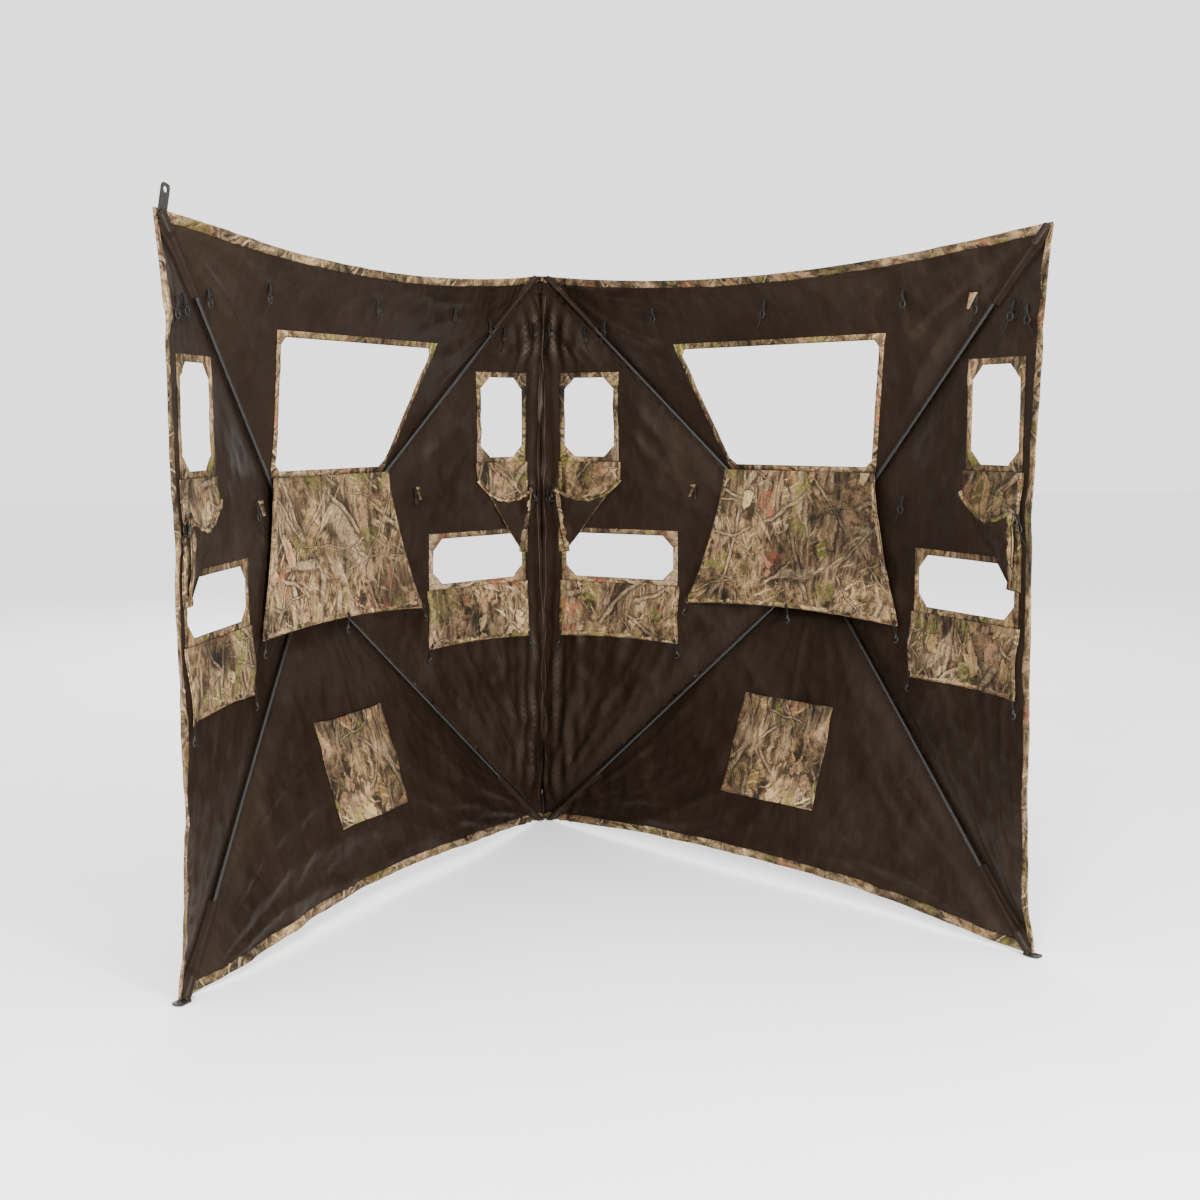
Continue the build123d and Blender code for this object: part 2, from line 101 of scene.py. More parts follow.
CORNERS = {
    "top_inner": (0.0, HEIGHT),
    "top_outer": (WIDTH, HEIGHT),
    "bottom_outer": (WIDTH, 0.0),
    "bottom_inner": (0.0, 0.0),
}
TIPS = {
    "top_inner": (0.040, HEIGHT - 0.008),
    "top_outer": (WIDTH - 0.011, HEIGHT - 0.008),
    "bottom_outer": (WIDTH - 0.011, 0.008),
    "bottom_inner": (0.040, 0.008),
}
WALL_MESH = 0.0095
FLAP_MESH = 0.0085


# ---- Panel geometry ----
def place(side, s, n, z):
    """Points of a panel, in the part's frame."""
    sign = SIDES[side]
    s, n, z = np.broadcast_arrays(np.asarray(s, float), np.asarray(n, float), np.asarray(z, float))
    x = sign * (s * sin(HALF_ANGLE) + n * cos(HALF_ANGLE))
    return np.stack([x, -s * cos(HALF_ANGLE) + n * sin(HALF_ANGLE), z], axis=-1)


def inward_of(side):
    """The direction from a panel's cloth toward its inside."""
    return -place(side, 0, 1, 0)


def smooth(low, high, x):
    t = np.clip((x - low) / (high - low), 0, 1)
    return t * t * (3 - 2 * t)


def pole_distance(s, z):
    """How far a panel point is from the nearest pole's line."""
    return abs(abs(s - MID) * HUB_Z - abs(z - HUB_Z) * MID) / np.hypot(MID, HUB_Z)


def creases(angle, seed, counts=(9, 17, 29)):
    """Sharp-topped waves round a point that the cloth is pulled from, from 0 to 1."""
    rng = np.random.default_rng(seed)
    total = 0.0
    for count in counts:
        shift, weight = rng.uniform(0, 2 * pi), rng.uniform(0.5, 1.0)
        total = total + weight * (1 - abs(np.sin(angle * count + shift))) ** 2
    return total / len(counts)


def folds(side, s, z):
    """How far the cloth's folds stand inward of its taut surface."""
    seed = 11 if side == "left" else 47
    total = np.zeros_like(s)
    for k, (cs, cz) in enumerate(CORNERS.values()):
        reach, angle = np.hypot(s - cs, z - cz), np.arctan2(z - cz, s - cs)
        size = 0.0300 * smooth(0.03, 0.22, reach) * np.exp(-reach / 0.55)
        total += size * creases(angle + 0.08 * np.sin(6 * reach), seed + k, (8, 14, 22))
        fine = 0.0075 * smooth(0.10, 0.30, reach) * (1 - smooth(0.45, 0.85, reach))
        total += fine * creases(angle + 0.05 * np.sin(9 * reach + k), seed + 5 * k, (29, 37))
    reach, angle = np.hypot(s - MID, z - HUB_Z), np.arctan2(z - HUB_Z, s - MID)
    total += 0.0130 * smooth(0.06, 0.20, reach) * np.exp(-reach / 0.35) * creases(angle, seed + 9, (9, 16))
    pleat = (1 - abs(np.sin(pi * s / 0.040 + 0.9 * np.sin(2.3 * z + seed)))) ** 1.5
    ends = 0.55 + 0.45 * smooth(0.20, 0.70, abs(z - HUB_Z))
    total += 0.0150 * ends * pleat * smooth(0.010, 0.030, s) * (1 - smooth(0.06, 0.18, s))
    rng = np.random.default_rng(seed + 20)
    for _ in range(12):
        turn, length, shift = rng.uniform(0, pi), rng.uniform(0.05, 0.22), rng.uniform(0, 2 * pi)
        bent = 0.35 * np.sin(3.1 * s + 4.3 * z + shift)
        wave = 1 - abs(np.sin(pi * (s * cos(turn) + z * sin(turn)) / length + bent + shift))
        total += 0.011 * length * wave**2
    total += 0.006 * np.sin(2 * pi * s / 0.9 + seed) * np.sin(2 * pi * z / 0.8 + 1)
    return total * smooth(0.006, 0.060, pole_distance(s, z)) * calm(s, z)


def calm(s, z):
    """How much of a fold is left near the stiff window frames: a third at a frame, all of it further away."""
    share = np.ones_like(s)
    for windows in WINDOWS.values():
        for _, corners, _ in windows:
            middle, half = (corners.max(0) + corners.min(0)) / 2, (corners.max(0) - corners.min(0)) / 2
            beside, above = abs(s - middle[0]) - half[0], abs(z - middle[1]) - half[1]
            away = np.hypot(np.maximum(beside, 0), np.maximum(above, 0))
            share = share * (0.33 + 0.67 * smooth(0.015, 0.075, away))
    return share


def pyramid(s, z):
    """How far outward a panel's plain four-sided shape stands."""
    return DEPTH * np.minimum(np.minimum(s, WIDTH - s) / MID, np.minimum(z, HEIGHT - z) / HUB_Z)


def taut(s, z):
    """How far outward the stretched cloth stands: clear of the hub and of the boots in its corners."""
    from_hub = np.hypot(s - MID, z - HUB_Z)
    shoulder = pyramid(s, z) + 0.0035 * (1 - smooth(0.045, 0.10, from_hub))
    blend = smooth(0.023, 0.036, from_hub)
    surface = (DEPTH - 0.0060) * (1 - blend) + shoulder * blend
    for ts, tz in TIPS.values():
        near_tip = 1 - smooth(0.035, 0.11, np.hypot(s - ts, z - tz))
        surface = surface + 0.0042 * near_tip * smooth(0.003, 0.026, s)
    return surface


def cloth_n(side, s, z):
    """The wall's inner face."""
    return taut(s, z) - folds(side, s, z)


def free_edge(gore, count=60):
    """Points along a gore's free edge, from its first corner to its last, as (s, z)."""
    t = np.linspace(0, 1, count)
    bow = 4 * t * (1 - t)
    if gore == "top":
        return np.stack([t * WIDTH, HEIGHT - TOP_SAG * bow], axis=1)
    if gore == "bottom":
        return np.stack([WIDTH * (1 - t), BOTTOM_RISE * bow], axis=1)
    if gore == "outer":
        return np.stack([WIDTH - SIDE_SAG * bow, HEIGHT * (1 - t)], axis=1)
    return np.stack([np.full(count, 0.0006), HEIGHT * t], axis=1)


def oblong(gore, near, far, low, high):
    first, last = (near, far) if gore == "inner" else (WIDTH - far, WIDTH - near)
    return np.array([(first, low), (last, low), (last, high), (first, high)])


BIG_WINDOW = np.array([
    (MID - BIG_HALF_LOW, BIG_LOW),
    (MID + BIG_HALF_LOW, BIG_LOW),
    (MID + BIG_HALF_HIGH, BIG_HIGH),
    (MID - BIG_HALF_HIGH, BIG_HIGH),
])
WINDOWS = {"top": [("big", BIG_WINDOW, 0.016)], "bottom": []}
for upright in ("inner", "outer"):
    WINDOWS[upright] = [
        ("tall", oblong(upright, SIDE_NEAR, SIDE_FAR, SIDE_LOW, SIDE_HIGH), 0.030),
        ("wide", oblong(upright, WIDE_NEAR, WIDE_FAR, WIDE_LOW, WIDE_HIGH), 0.030),
    ]


def inset(corners, distance):
    """A convex outline, given anticlockwise, moved inward."""
    moved = []
    for k in range(len(corners)):
        before, here, after = corners[k - 1], corners[k], corners[(k + 1) % len(corners)]
        a, b = (here - before) / np.linalg.norm(here - before), (after - here) / np.linalg.norm(after - here)
        across_a, across_b = np.array([-a[1], a[0]]), np.array([-b[1], b[0]])
        bisector = across_a + across_b
        moved.append(here + bisector * distance / (1 + across_a @ across_b))
    return np.array(moved)


def clipped(corners, length):
    """An outline with each corner cut off, length back along both of its sides."""
    cut = []
    for k in range(len(corners)):
        before, here, after = corners[k - 1], corners[k], corners[(k + 1) % len(corners)]
        cut.append(here + (before - here) / np.linalg.norm(before - here) * length)
        cut.append(here + (after - here) / np.linalg.norm(after - here) * length)
    return np.array(cut)


# ---- Meshes ----
def resampled(path, spacing, closed=True):
    """A line or a closed outline, with points no further apart than spacing."""
    points = []
    ends = np.roll(path, -1, 0) if closed else path[1:]
    for a, b in zip(path, ends):
        steps = max(1, int(np.ceil(np.linalg.norm(b - a) / spacing)))
        points += [a + (b - a) * i / steps for i in range(steps)]
    return np.array(points if closed else [*points, path[-1]])


def inside(points, loop):
    """Which points lie inside a closed outline."""
    x, y = points[:, 0:1], points[:, 1:2]
    x1, y1 = loop[:, 0], loop[:, 1]
    x2, y2 = np.roll(x1, -1), np.roll(y1, -1)
    crosses = (y1 > y) != (y2 > y)
    with np.errstate(divide="ignore", invalid="ignore"):
        at = (x2 - x1) * (y - y1) / (y2 - y1) + x1
    return (crosses & (x < at)).sum(1) % 2 == 1


def triangulated(outline, holes, spacing):
    """Even triangles over an outline with holes: its points and its triangles."""
    loops = [resampled(np.asarray(loop, float), spacing) for loop in (outline, *holes)]
    low, high = loops[0].min(0), loops[0].max(0)
    rows = np.arange(low[1] + spacing * 0.4, high[1], spacing * 0.866)
    grid = [
        (x, y)
        for j, y in enumerate(rows)
        for x in np.arange(low[0] + spacing * (0.3 + 0.5 * (j % 2)), high[0], spacing)
    ]
    grid = np.array(grid).reshape(-1, 2)
    keep = inside(grid, loops[0])
    for loop in loops[1:]:
        keep &= ~inside(grid, loop)
    grid = grid[keep]
    border = np.concatenate(loops)
    if len(grid):
        near = np.concatenate([
            np.sqrt(((part[:, None] - border[None]) ** 2).sum(-1)).min(1)
            for part in np.array_split(grid, max(1, len(grid) // 400))
        ])
        grid = grid[near > spacing * 0.55]
    points = np.concatenate([border, grid])
    edges, start = [], 0
    for loop in loops:
        edges += [(start + i, start + (i + 1) % len(loop)) for i in range(len(loop))]
        start += len(loop)
    found = delaunay_2d_cdt([Vector(p) for p in points], edges, [], 0, 1e-7)
    points = np.array([tuple(p) for p in found[0]])
    triangles = np.array([f for f in found[2] if len(f) == 3])
    centres = points[triangles].mean(1)
    keep = inside(centres, loops[0])
    for loop in loops[1:]:
        keep &= ~inside(centres, loop)
    return points, triangles[keep]


def new_object(name, points, faces, materials, face_materials=None, uv=None):
    mesh = bpy.data.meshes.new(name)
    mesh.from_pydata([tuple(p) for p in points], [], [tuple(int(i) for i in f) for f in faces])
    for material in materials:
        mesh.materials.append(material)
    if face_materials is not None:
        mesh.polygons.foreach_set("material_index", np.asarray(face_materials, np.int32))
    if uv is not None:
        layer = mesh.uv_layers.new(name="cloth")
        index = np.zeros(len(mesh.loops), np.int32)
        mesh.loops.foreach_get("vertex_index", index)
        layer.data.foreach_set("uv", np.asarray(uv, float)[index].astype(np.float32).ravel())
    mesh.polygons.foreach_set("use_smooth", np.full(len(mesh.polygons), True))
    mesh.update()
    obj = bpy.data.objects.new(name, mesh)
    bpy.context.scene.collection.objects.link(obj)
    return obj


def two_sided(name, inner, outer, triangles, uv, materials, inward):
    """A thin cloth: its inner face, its outer face and its rim, with a material for each face."""
    count = len(inner)
    points = np.concatenate([inner, outer])
    normal = np.cross(
        inner[triangles[:, 1]] - inner[triangles[:, 0]], inner[triangles[:, 2]] - inner[triangles[:, 0]]
    ).sum(0)
    front = triangles if normal @ inward > 0 else triangles[:, ::-1]
    back = front[:, ::-1] + count
    uses = {}
    for a, b, c in front:
        for edge in ((a, b), (b, c), (c, a)):
            uses[edge] = uses.get(edge, 0) + 1
    rim = [(b, a, a + count, b + count) for a, b in uses if (b, a) not in uses]
    faces = [*front, *back, *rim]
    slots = [0] * len(front) + [1] * (len(back) + len(rim))
    return new_object(name, points, faces, materials, slots, np.concatenate([uv, uv]))


def tube(points, radius, sides=8, closed=False):
    """The points and faces of a round tube along a line."""
    points = np.asarray(points, float)
    count = len(points)
    nxt = np.roll(points, -1, 0) if closed else np.concatenate([points[1:], points[-1:]])
    prv = np.roll(points, 1, 0) if closed else np.concatenate([points[:1], points[:-1]])
    along = nxt - prv
    along /= np.linalg.norm(along, axis=1)[:, None] + 1e-12
    guide = np.array([0.13, 0.31, 0.94])
    across = np.cross(along, guide)
    across /= np.linalg.norm(across, axis=1)[:, None] + 1e-12
    other = np.cross(along, across)
    turn = np.arange(sides) * 2 * pi / sides
    ring = np.cos(turn)[None, :, None] * across[:, None] + np.sin(turn)[None, :, None] * other[:, None]
    verts = (points[:, None] + ring * radius).reshape(-1, 3)
    return verts, skin(count, sides, closed)


def skin(count, around, closed=False):
    """Faces over count rings of points, which join in a loop or end in flat caps."""
    faces = []
    for i in range(count if closed else count - 1):
        j = (i + 1) % count
        for k in range(around):
            m = (k + 1) % around
            faces.append((i * around + k, i * around + m, j * around + m, j * around + k))
    if not closed:
        faces.append(tuple(range(around - 1, -1, -1)))
        faces.append(tuple((count - 1) * around + k for k in range(around)))
    return faces


def gathered(name, parts, material):
    """One object from several (points, faces) lists."""
    points, faces, start = [], [], 0
    for verts, polygons in parts:
        points.append(np.asarray(verts, float))
        faces += [tuple(i + start for i in f) for f in polygons]
        start += len(verts)
    return new_object(name, np.concatenate(points), faces, [material])


def ribbon(rows, thickness_direction, thickness, closed=False):
    """A band through rows of points, as a closed thin solid: its points and faces."""
    rows = np.asarray(rows, float)
    length, width = rows.shape[:2]
    lift = np.asarray(thickness_direction, float) * thickness
    points = np.concatenate([rows.reshape(-1, 3), (rows + lift).reshape(-1, 3)])
    total = length * width
    faces = []
    last = length if closed else length - 1
    for i in range(last):
        j = (i + 1) % length
        for k in range(width - 1):
            a, b, c, d = i * width + k, i * width + k + 1, j * width + k + 1, j * width + k
            faces += [(a, b, c, d), (a + total, d + total, c + total, b + total)]
        for k, flip in ((0, False), (width - 1, True)):
            a, d = i * width + k, j * width + k
            face = (a, d, d + total, a + total)
            faces.append(face[::-1] if flip else face)
    if not closed:
        for i, flip in ((0, True), (length - 1, False)):
            for k in range(width - 1):
                a, b = i * width + k, i * width + k + 1
                face = (a, b, b + total, a + total)
                faces.append(face[::-1] if flip else face)
    return points, faces


# ---- Materials ----
class Nodes:
    """Short names for building a material's nodes."""

    def __init__(self, name):
        self.material = bpy.data.materials.new(name)
        self.material.use_nodes = True
        self.tree = self.material.node_tree
        self.shader = self.tree.nodes["Principled BSDF"]

    def add(self, kind, links=None, **values):
        node = self.tree.nodes.new(kind)
        for key, value in values.items():
            setattr(node, key, value)
        for socket, source in (links or {}).items():
            self.put(node.inputs[socket], source)
        return node

    def put(self, socket, source):
        if isinstance(source, (bpy.types.NodeSocket,)):
            self.tree.links.new(source, socket)
        else:
            socket.default_value = source

    def noise(self, vector, scale, detail=3.0, roughness=0.55, distortion=0.0):
        return self.add("ShaderNodeTexNoise", {
            "Vector": vector, "Scale": scale, "Detail": detail, "Roughness": roughness,
            "Distortion": distortion,
        }).outputs["Fac"]

    def ramp(self, source, stops, smooth_stops=False):
        node = self.add("ShaderNodeValToRGB", {"Fac": source})
        ramp = node.color_ramp
        ramp.interpolation = "EASE" if smooth_stops else "LINEAR"
        while len(ramp.elements) < len(stops):
            ramp.elements.new(0.5)
        for element, (position, colour) in zip(ramp.elements, stops):
            element.position = position
            element.color = (*colour, 1) if len(colour) == 3 else colour
        return node.outputs["Color"]

    def mask(self, source, low, high):
        return self.ramp(source, [(low, (0, 0, 0)), (high, (1, 1, 1))], True)

    def mix(self, factor, a, b, mode="MIX"):
        node = self.add("ShaderNodeMix", data_type="RGBA", blend_type=mode)
        self.put(node.inputs[0], factor)
        self.put(node.inputs[6], a)
        self.put(node.inputs[7], b)
        return node.outputs[2]

    def sums(self, operation, a, b, clamp=False):
        node = self.add("ShaderNodeMath", operation=operation, use_clamp=clamp)
        self.put(node.inputs[0], a)
        self.put(node.inputs[1], b)
        return node.outputs[0]

    def turned(self, vector, turn, size, shift=(0, 0, 0)):
        """Turn first, then stretch, so that what is drawn runs at that angle."""
        return self.scaled(self.scaled(vector, (1, 1, 1), turn), size, 0.0, shift)

    def over(self, base, colour, *shares):
        """A colour laid over base, by the product of its shares."""
        share = shares[0]
        for more in shares[1:]:
            share = self.sums("MULTIPLY", share, more)
        return self.mix(share, base, (*colour, 1) if isinstance(colour, tuple) else colour)

    def scaled(self, vector, size, turn=0.0, shift=(0, 0, 0)):
        return self.add("ShaderNodeMapping", {
            "Vector": vector, "Scale": size, "Rotation": (0, 0, turn), "Location": shift,
        }).outputs["Vector"]

    def bump(self, height, strength, distance):
        return self.add("ShaderNodeBump", {
            "Height": height, "Strength": strength, "Distance": distance,
        }).outputs["Normal"]

    def finish(self, colour, roughness, normal=None, **fixed):
        self.put(self.shader.inputs["Base Color"], colour)
        self.put(self.shader.inputs["Roughness"], roughness)
        if normal is not None:
            self.put(self.shader.inputs["Normal"], normal)
        for key, value in fixed.items():
            self.shader.inputs[key.replace("_", " ")].default_value = value
        return self.material


def woven(m, uv, threads, strength, wrinkled):
    """The normal of a plain weave, with threads to the metre, over wrinkles."""
    bands = [
        m.add("ShaderNodeTexWave", {"Vector": uv, "Scale": threads / 20, "Distortion": 0.4},
              wave_type="BANDS", bands_direction=direction).outputs["Fac"]
        for direction in "XY"
    ]
    return m.add("ShaderNodeBump", {
        "Height": m.sums("ADD", *bands), "Strength": strength, "Distance": 0.0003, "Normal": wrinkled,
    }).outputs["Normal"]


def dark_cloth(name, shade=1.0):
    """Coated polyester, dark brown-black, with a faint warm shine and fine crumples."""
    m = Nodes(name)
    uv = m.add("ShaderNodeUVMap", uv_map="cloth").outputs["UV"]
    deep, pale, dusty = (
        tuple(shade * part for part in colour)
        for colour in ((0.0060, 0.0035, 0.0021), (0.0105, 0.0064, 0.0040), (0.0180, 0.0116, 0.0077))
    )
    colour = m.mix(m.mask(m.noise(uv, 3.2, 4.0, 0.6), 0.3, 0.72), (*deep, 1), (*pale, 1))
    fine = m.noise(m.scaled(uv, (1, 0.35, 1)), 46.0, 3.0, 0.6)
    colour = m.over(colour, dusty, m.mask(fine, 0.45, 0.8), 0.35)
    rough = m.ramp(m.noise(uv, 9.0, 3.0), [(0.3, (0.38, 0.38, 0.38)), (0.75, (0.52, 0.52, 0.52))])
    crumple = m.noise(m.scaled(uv, (1, 0.6, 1)), 15.0, 4.0, 0.55, 0.6)
    creased = m.add("ShaderNodeTexVoronoi", {"Vector": m.scaled(uv, (1, 0.5, 1), 0.4), "Scale": 9.0},
                    feature="SMOOTH_F1").outputs["Distance"]
    wrinkled = m.bump(m.sums("ADD", crumple, m.sums("MULTIPLY", creased, 0.7)), 0.55, 0.006)
    return m.finish(colour, rough, woven(m, uv, 1600, 0.18, wrinkled), Specular_IOR_Level=0.13,
                    Specular_Tint=(1.0, 0.82, 0.66, 1))


# The print's colours, as stops along a noise or as one colour for each kind
BARK = [
    (0.34, (0.010, 0.007, 0.004)),
    (0.44, (0.050, 0.034, 0.021)),
    (0.52, (0.135, 0.098, 0.062)),
    (0.60, (0.245, 0.190, 0.125)),
    (0.74, (0.430, 0.355, 0.250)),
]
LITTER = [
    (0.34, (0.012, 0.009, 0.005)),
    (0.45, (0.075, 0.052, 0.028)),
    (0.55, (0.185, 0.133, 0.075)),
    (0.72, (0.370, 0.285, 0.175)),
]
BRANCH_GRAIN = [(0.35, (0.060, 0.043, 0.028)), (0.65, (0.380, 0.310, 0.220))]
LEAF_TINTS = [
    (0.12, (0.260, 0.180, 0.085)),
    (0.38, (0.410, 0.325, 0.200)),
    (0.55, (0.190, 0.080, 0.048)),
    (0.72, (0.100, 0.115, 0.025)),
    (0.90, (0.190, 0.140, 0.085)),
]
# Twigs: angle, seed, colour. Patches: seed, scale, threshold, colour
TWIGS = [
    (0.95, 3.3, (0.420, 0.340, 0.230)),
    (-0.70, 8.1, (0.330, 0.255, 0.165)),
    (0.25, 5.9, (0.014, 0.010, 0.007)),
    (-0.25, 1.7, (0.300, 0.240, 0.160)),
]
PATCHES = [
    (3, 8.5, 0.56, (0.105, 0.125, 0.022)),
    (7, 6.0, 0.60, (0.200, 0.072, 0.042)),
    (12, 7.5, 0.58, (0.300, 0.190, 0.125)),
]
# Branches: angle, scale, seed, width, strength
BRANCHES = [
    (0.12, 4.6, 1.0, 0.034, 0.85),
    (-0.85, 6.5, 2.7, 0.022, 0.80),
    (0.75, 6.0, 5.1, 0.024, 0.80),
    (1.45, 7.5, 7.4, 0.018, 0.70),
]


def forest_floor(m, uv, bent):
    """Bark in long streaks and mottled litter, with deep gaps between."""
    bark = m.ramp(m.noise(m.scaled(bent, (1.0, 0.14, 1)), 62.0, 7.0, 0.72), BARK)
    litter = m.ramp(m.noise(bent, 40.0, 7.0, 0.70), LITTER)
    ground = m.mix(m.mask(m.noise(uv, 5.5, 2.0, 0.5, 0.5), 0.46, 0.54), bark, litter)
    gaps = m.mask(m.noise(m.scaled(bent, (1.0, 0.45, 1)), 13.0, 5.0, 0.65), 0.50, 0.62)
    return m.over(ground, (0.012, 0.009, 0.006), gaps, 0.85)


def with_twigs(m, uv, bent, ground):
    """Twigs and grass, as fine strokes at several angles."""
    for angle, seed, colour in TWIGS:
        strokes = m.noise(m.turned(bent, angle, (1, 0.13, 1), (seed, seed, 0)), 78.0, 4.0, 0.62)
        here = m.mask(m.noise(m.scaled(uv, (1, 1, 1), 0, (seed, 2, 0)), 7.0, 2.0), 0.45, 0.56)
        ground = m.over(ground, colour, m.mask(strokes, 0.56, 0.62), here, 0.75)
    return ground


def with_patches(m, bent, ground):
    """Patches of green, rust and tan, each with the same grain."""
    for seed, size, low, colour in PATCHES:
        spread = m.noise(m.scaled(bent, (1, 1, 1), 0, (seed, seed * 0.4, 0)), size, 4.0)
        grain = m.mask(m.noise(bent, 55.0, 3.0), 0.38, 0.62)
        ground = m.over(ground, colour, m.mask(spread, low, low + 0.05), grain, 0.75)
    return ground


def with_branches(m, uv, bent, ground):
    """Forked branches: a pale line inside a wider dark one."""
    for angle, size, seed, wide, share in BRANCHES:
        net = m.turned(bent, angle, (1.0, 0.24, 1), (seed, seed * 2, 0))
        edge = m.add("ShaderNodeTexVoronoi", {"Vector": net, "Scale": size},
                     feature="DISTANCE_TO_EDGE").outputs["Distance"]
        shown = m.mask(m.noise(m.scaled(uv, (1, 1, 1), 0, (seed * 3, 1, 0)), 5.0, 1.0), 0.49, 0.54)
        dark = m.sums("SUBTRACT", 1.0, m.mask(edge, wide, wide * 1.5), True)
        light = m.sums("SUBTRACT", 1.0, m.mask(edge, wide * 0.45, wide * 0.62), True)
        grain = m.ramp(m.noise(m.turned(bent, angle, (1, 0.3, 1)), 130.0, 4.0, 0.75), BRANCH_GRAIN)
        ground = m.over(ground, (0.011, 0.008, 0.005), dark, shown, 0.6)
        ground = m.over(ground, grain, light, shown, share)
    return ground


def with_leaves(m, bent, ground):
    """Leaves: ragged cells, each with its own colour, dark outline and veins."""
    for size, seed, share in ((12.0, 0.0, 0.80), (21.0, 4.3, 0.85)):
        spot = m.scaled(bent, (1.0, 0.66, 1), 0.6 + seed, (seed, seed * 1.7, 0))
        cell = m.add("ShaderNodeTexVoronoi", {"Vector": spot, "Scale": size, "Randomness": 1.0})
        pick = m.add("ShaderNodeSeparateColor", {"Color": cell.outputs["Color"]})
        chosen = m.mask(pick.outputs["Red"], share - 0.01, share)
        lobes = m.sums("MULTIPLY", m.noise(spot, size * 2.6, 3.0, 0.7), 0.75)
        reach = m.sums("ADD", cell.outputs["Distance"], lobes)
        blade = m.sums("SUBTRACT", 1.0, m.mask(reach, 0.70, 0.73), True)
        rim = m.sums("SUBTRACT", 1.0, m.mask(reach, 0.76, 0.84), True)
        veins = m.add("ShaderNodeTexWave", {
            "Vector": spot, "Scale": size * 1.6, "Distortion": 7.0, "Detail": 3.0,
        }, bands_direction="DIAGONAL").outputs["Fac"]
        tint = m.ramp(pick.outputs["Green"], LEAF_TINTS)
        tint = m.over(tint, (0.50, 0.41, 0.27), m.mask(veins, 0.70, 0.95), 0.40)
        tint = m.over(tint, (0.045, 0.028, 0.015), m.mask(m.noise(spot, size * 6, 4.0), 0.45, 0.65), 0.45)
        ground = m.over(ground, (0.010, 0.007, 0.004), rim, chosen, 0.60)
        ground = m.over(ground, tint, blade, chosen, 0.85)
    return ground


def camouflage(name, shift, pale=1.0):
    """A generic woodland print: bark, litter, branches and loose leaves, on matt polyester."""
    m = Nodes(name)
    plane = m.add("ShaderNodeUVMap", uv_map="cloth").outputs["UV"]
    uv = m.scaled(plane, (1, 1, 1), 0.12, (shift, shift * 0.7, 0))
    bend = m.add("ShaderNodeVectorMath", operation="MULTIPLY_ADD")
    warp = m.add("ShaderNodeTexNoise", {"Vector": uv, "Scale": 9.0, "Detail": 4.0})
    m.put(bend.inputs[0], warp.outputs["Color"])
    m.put(bend.inputs[1], (0.055, 0.055, 0))
    m.put(bend.inputs[2], uv)
    bent = bend.outputs["Vector"]
    ground = forest_floor(m, uv, bent)
    ground = with_twigs(m, uv, bent, ground)
    ground = with_patches(m, bent, ground)
    ground = with_branches(m, uv, bent, ground)
    ground = with_leaves(m, bent, ground)
    # Whole stretches lie in shade, and all of it is finely speckled
    shade = m.ramp(m.noise(uv, 4.2, 3.0, 0.55, 0.6), [(0.38, (0.40, 0.38, 0.36)), (0.58, (1.16, 1.13, 1.09))])
    ground = m.mix(1.0, ground, shade, "MULTIPLY")
    speck = m.ramp(m.noise(bent, 210.0, 3.0, 0.7), [(0.36, (0.55, 0.53, 0.50)), (0.64, (1.35, 1.32, 1.27))])
    ground = m.mix(0.85, ground, speck, "MULTIPLY")
    tone = m.mix(1.0, ground, (0.78 * pale, 0.71 * pale, 0.61 * pale, 1), "MULTIPLY")
    wrinkled = m.bump(m.noise(plane, 22.0, 4.0, 0.55, 0.4), 0.40, 0.004)
    return m.finish(tone, 0.82, woven(m, plane, 1500, 0.22, wrinkled), Specular_IOR_Level=0.14)


def speckled(name, colour, roughness, scale=240.0, metallic=0.0, specular=0.2, stretch=(1, 1, 1)):
    """A moulded, woven or drawn finish with fine variation, in object space."""
    m = Nodes(name)
    space = m.add("ShaderNodeTexCoord").outputs["Object"]
    grain = m.noise(m.scaled(space, stretch), scale, 4.0, 0.6)
    dark, light = (*[0.72 * x for x in colour], 1), (*[1.35 * x for x in colour], 1)
    tone = m.mix(m.mask(grain, 0.32, 0.70), dark, light)
    rough = m.ramp(grain, [(0.3, (roughness * 0.85,) * 3), (0.7, (min(1, roughness * 1.15),) * 3)])
    return m.finish(tone, rough, m.bump(grain, 0.25, 0.0004), Metallic=metallic, Specular_IOR_Level=specular)


INSIDE = {side: dark_cloth(f"inside_cloth_{side}") for side in SIDES}
SLEEVE_CLOTH = dark_cloth("sleeve_cloth", 1.15)
CAMO_OUT = camouflage("camouflage_outside", 0.0)
CAMO_HEM = camouflage("camouflage_hem", 2.6, 1.05)
CAMO_FLAPS = [camouflage(f"camouflage_flap_{k}", 0.83 * k + 1.1) for k in range(3)]
ROD = speckled("fibreglass_rod", (0.009, 0.008, 0.007), 0.33, 500.0, specular=0.45, stretch=(1, 1, 0.1))
PLASTIC = speckled("moulded_black_plastic", (0.011, 0.010, 0.009), 0.50)
WEBBING = speckled("black_webbing", (0.009, 0.0075, 0.0065), 0.85, 900.0, specular=0.08)
STEEL = speckled("pin_steel", (0.45, 0.45, 0.47), 0.30, 300.0, metallic=1.0, specular=0.5)


def pole_line(pole, side):
    """A pole's line in a panel's cloth: the hub end, and its direction."""
    cs, cz = CORNERS[pole]
    hub = place(side, MID, DEPTH, HUB_Z)
    corner = place(side, cs, 0.0, cz)
    return hub, (corner - hub) / np.linalg.norm(corner - hub)


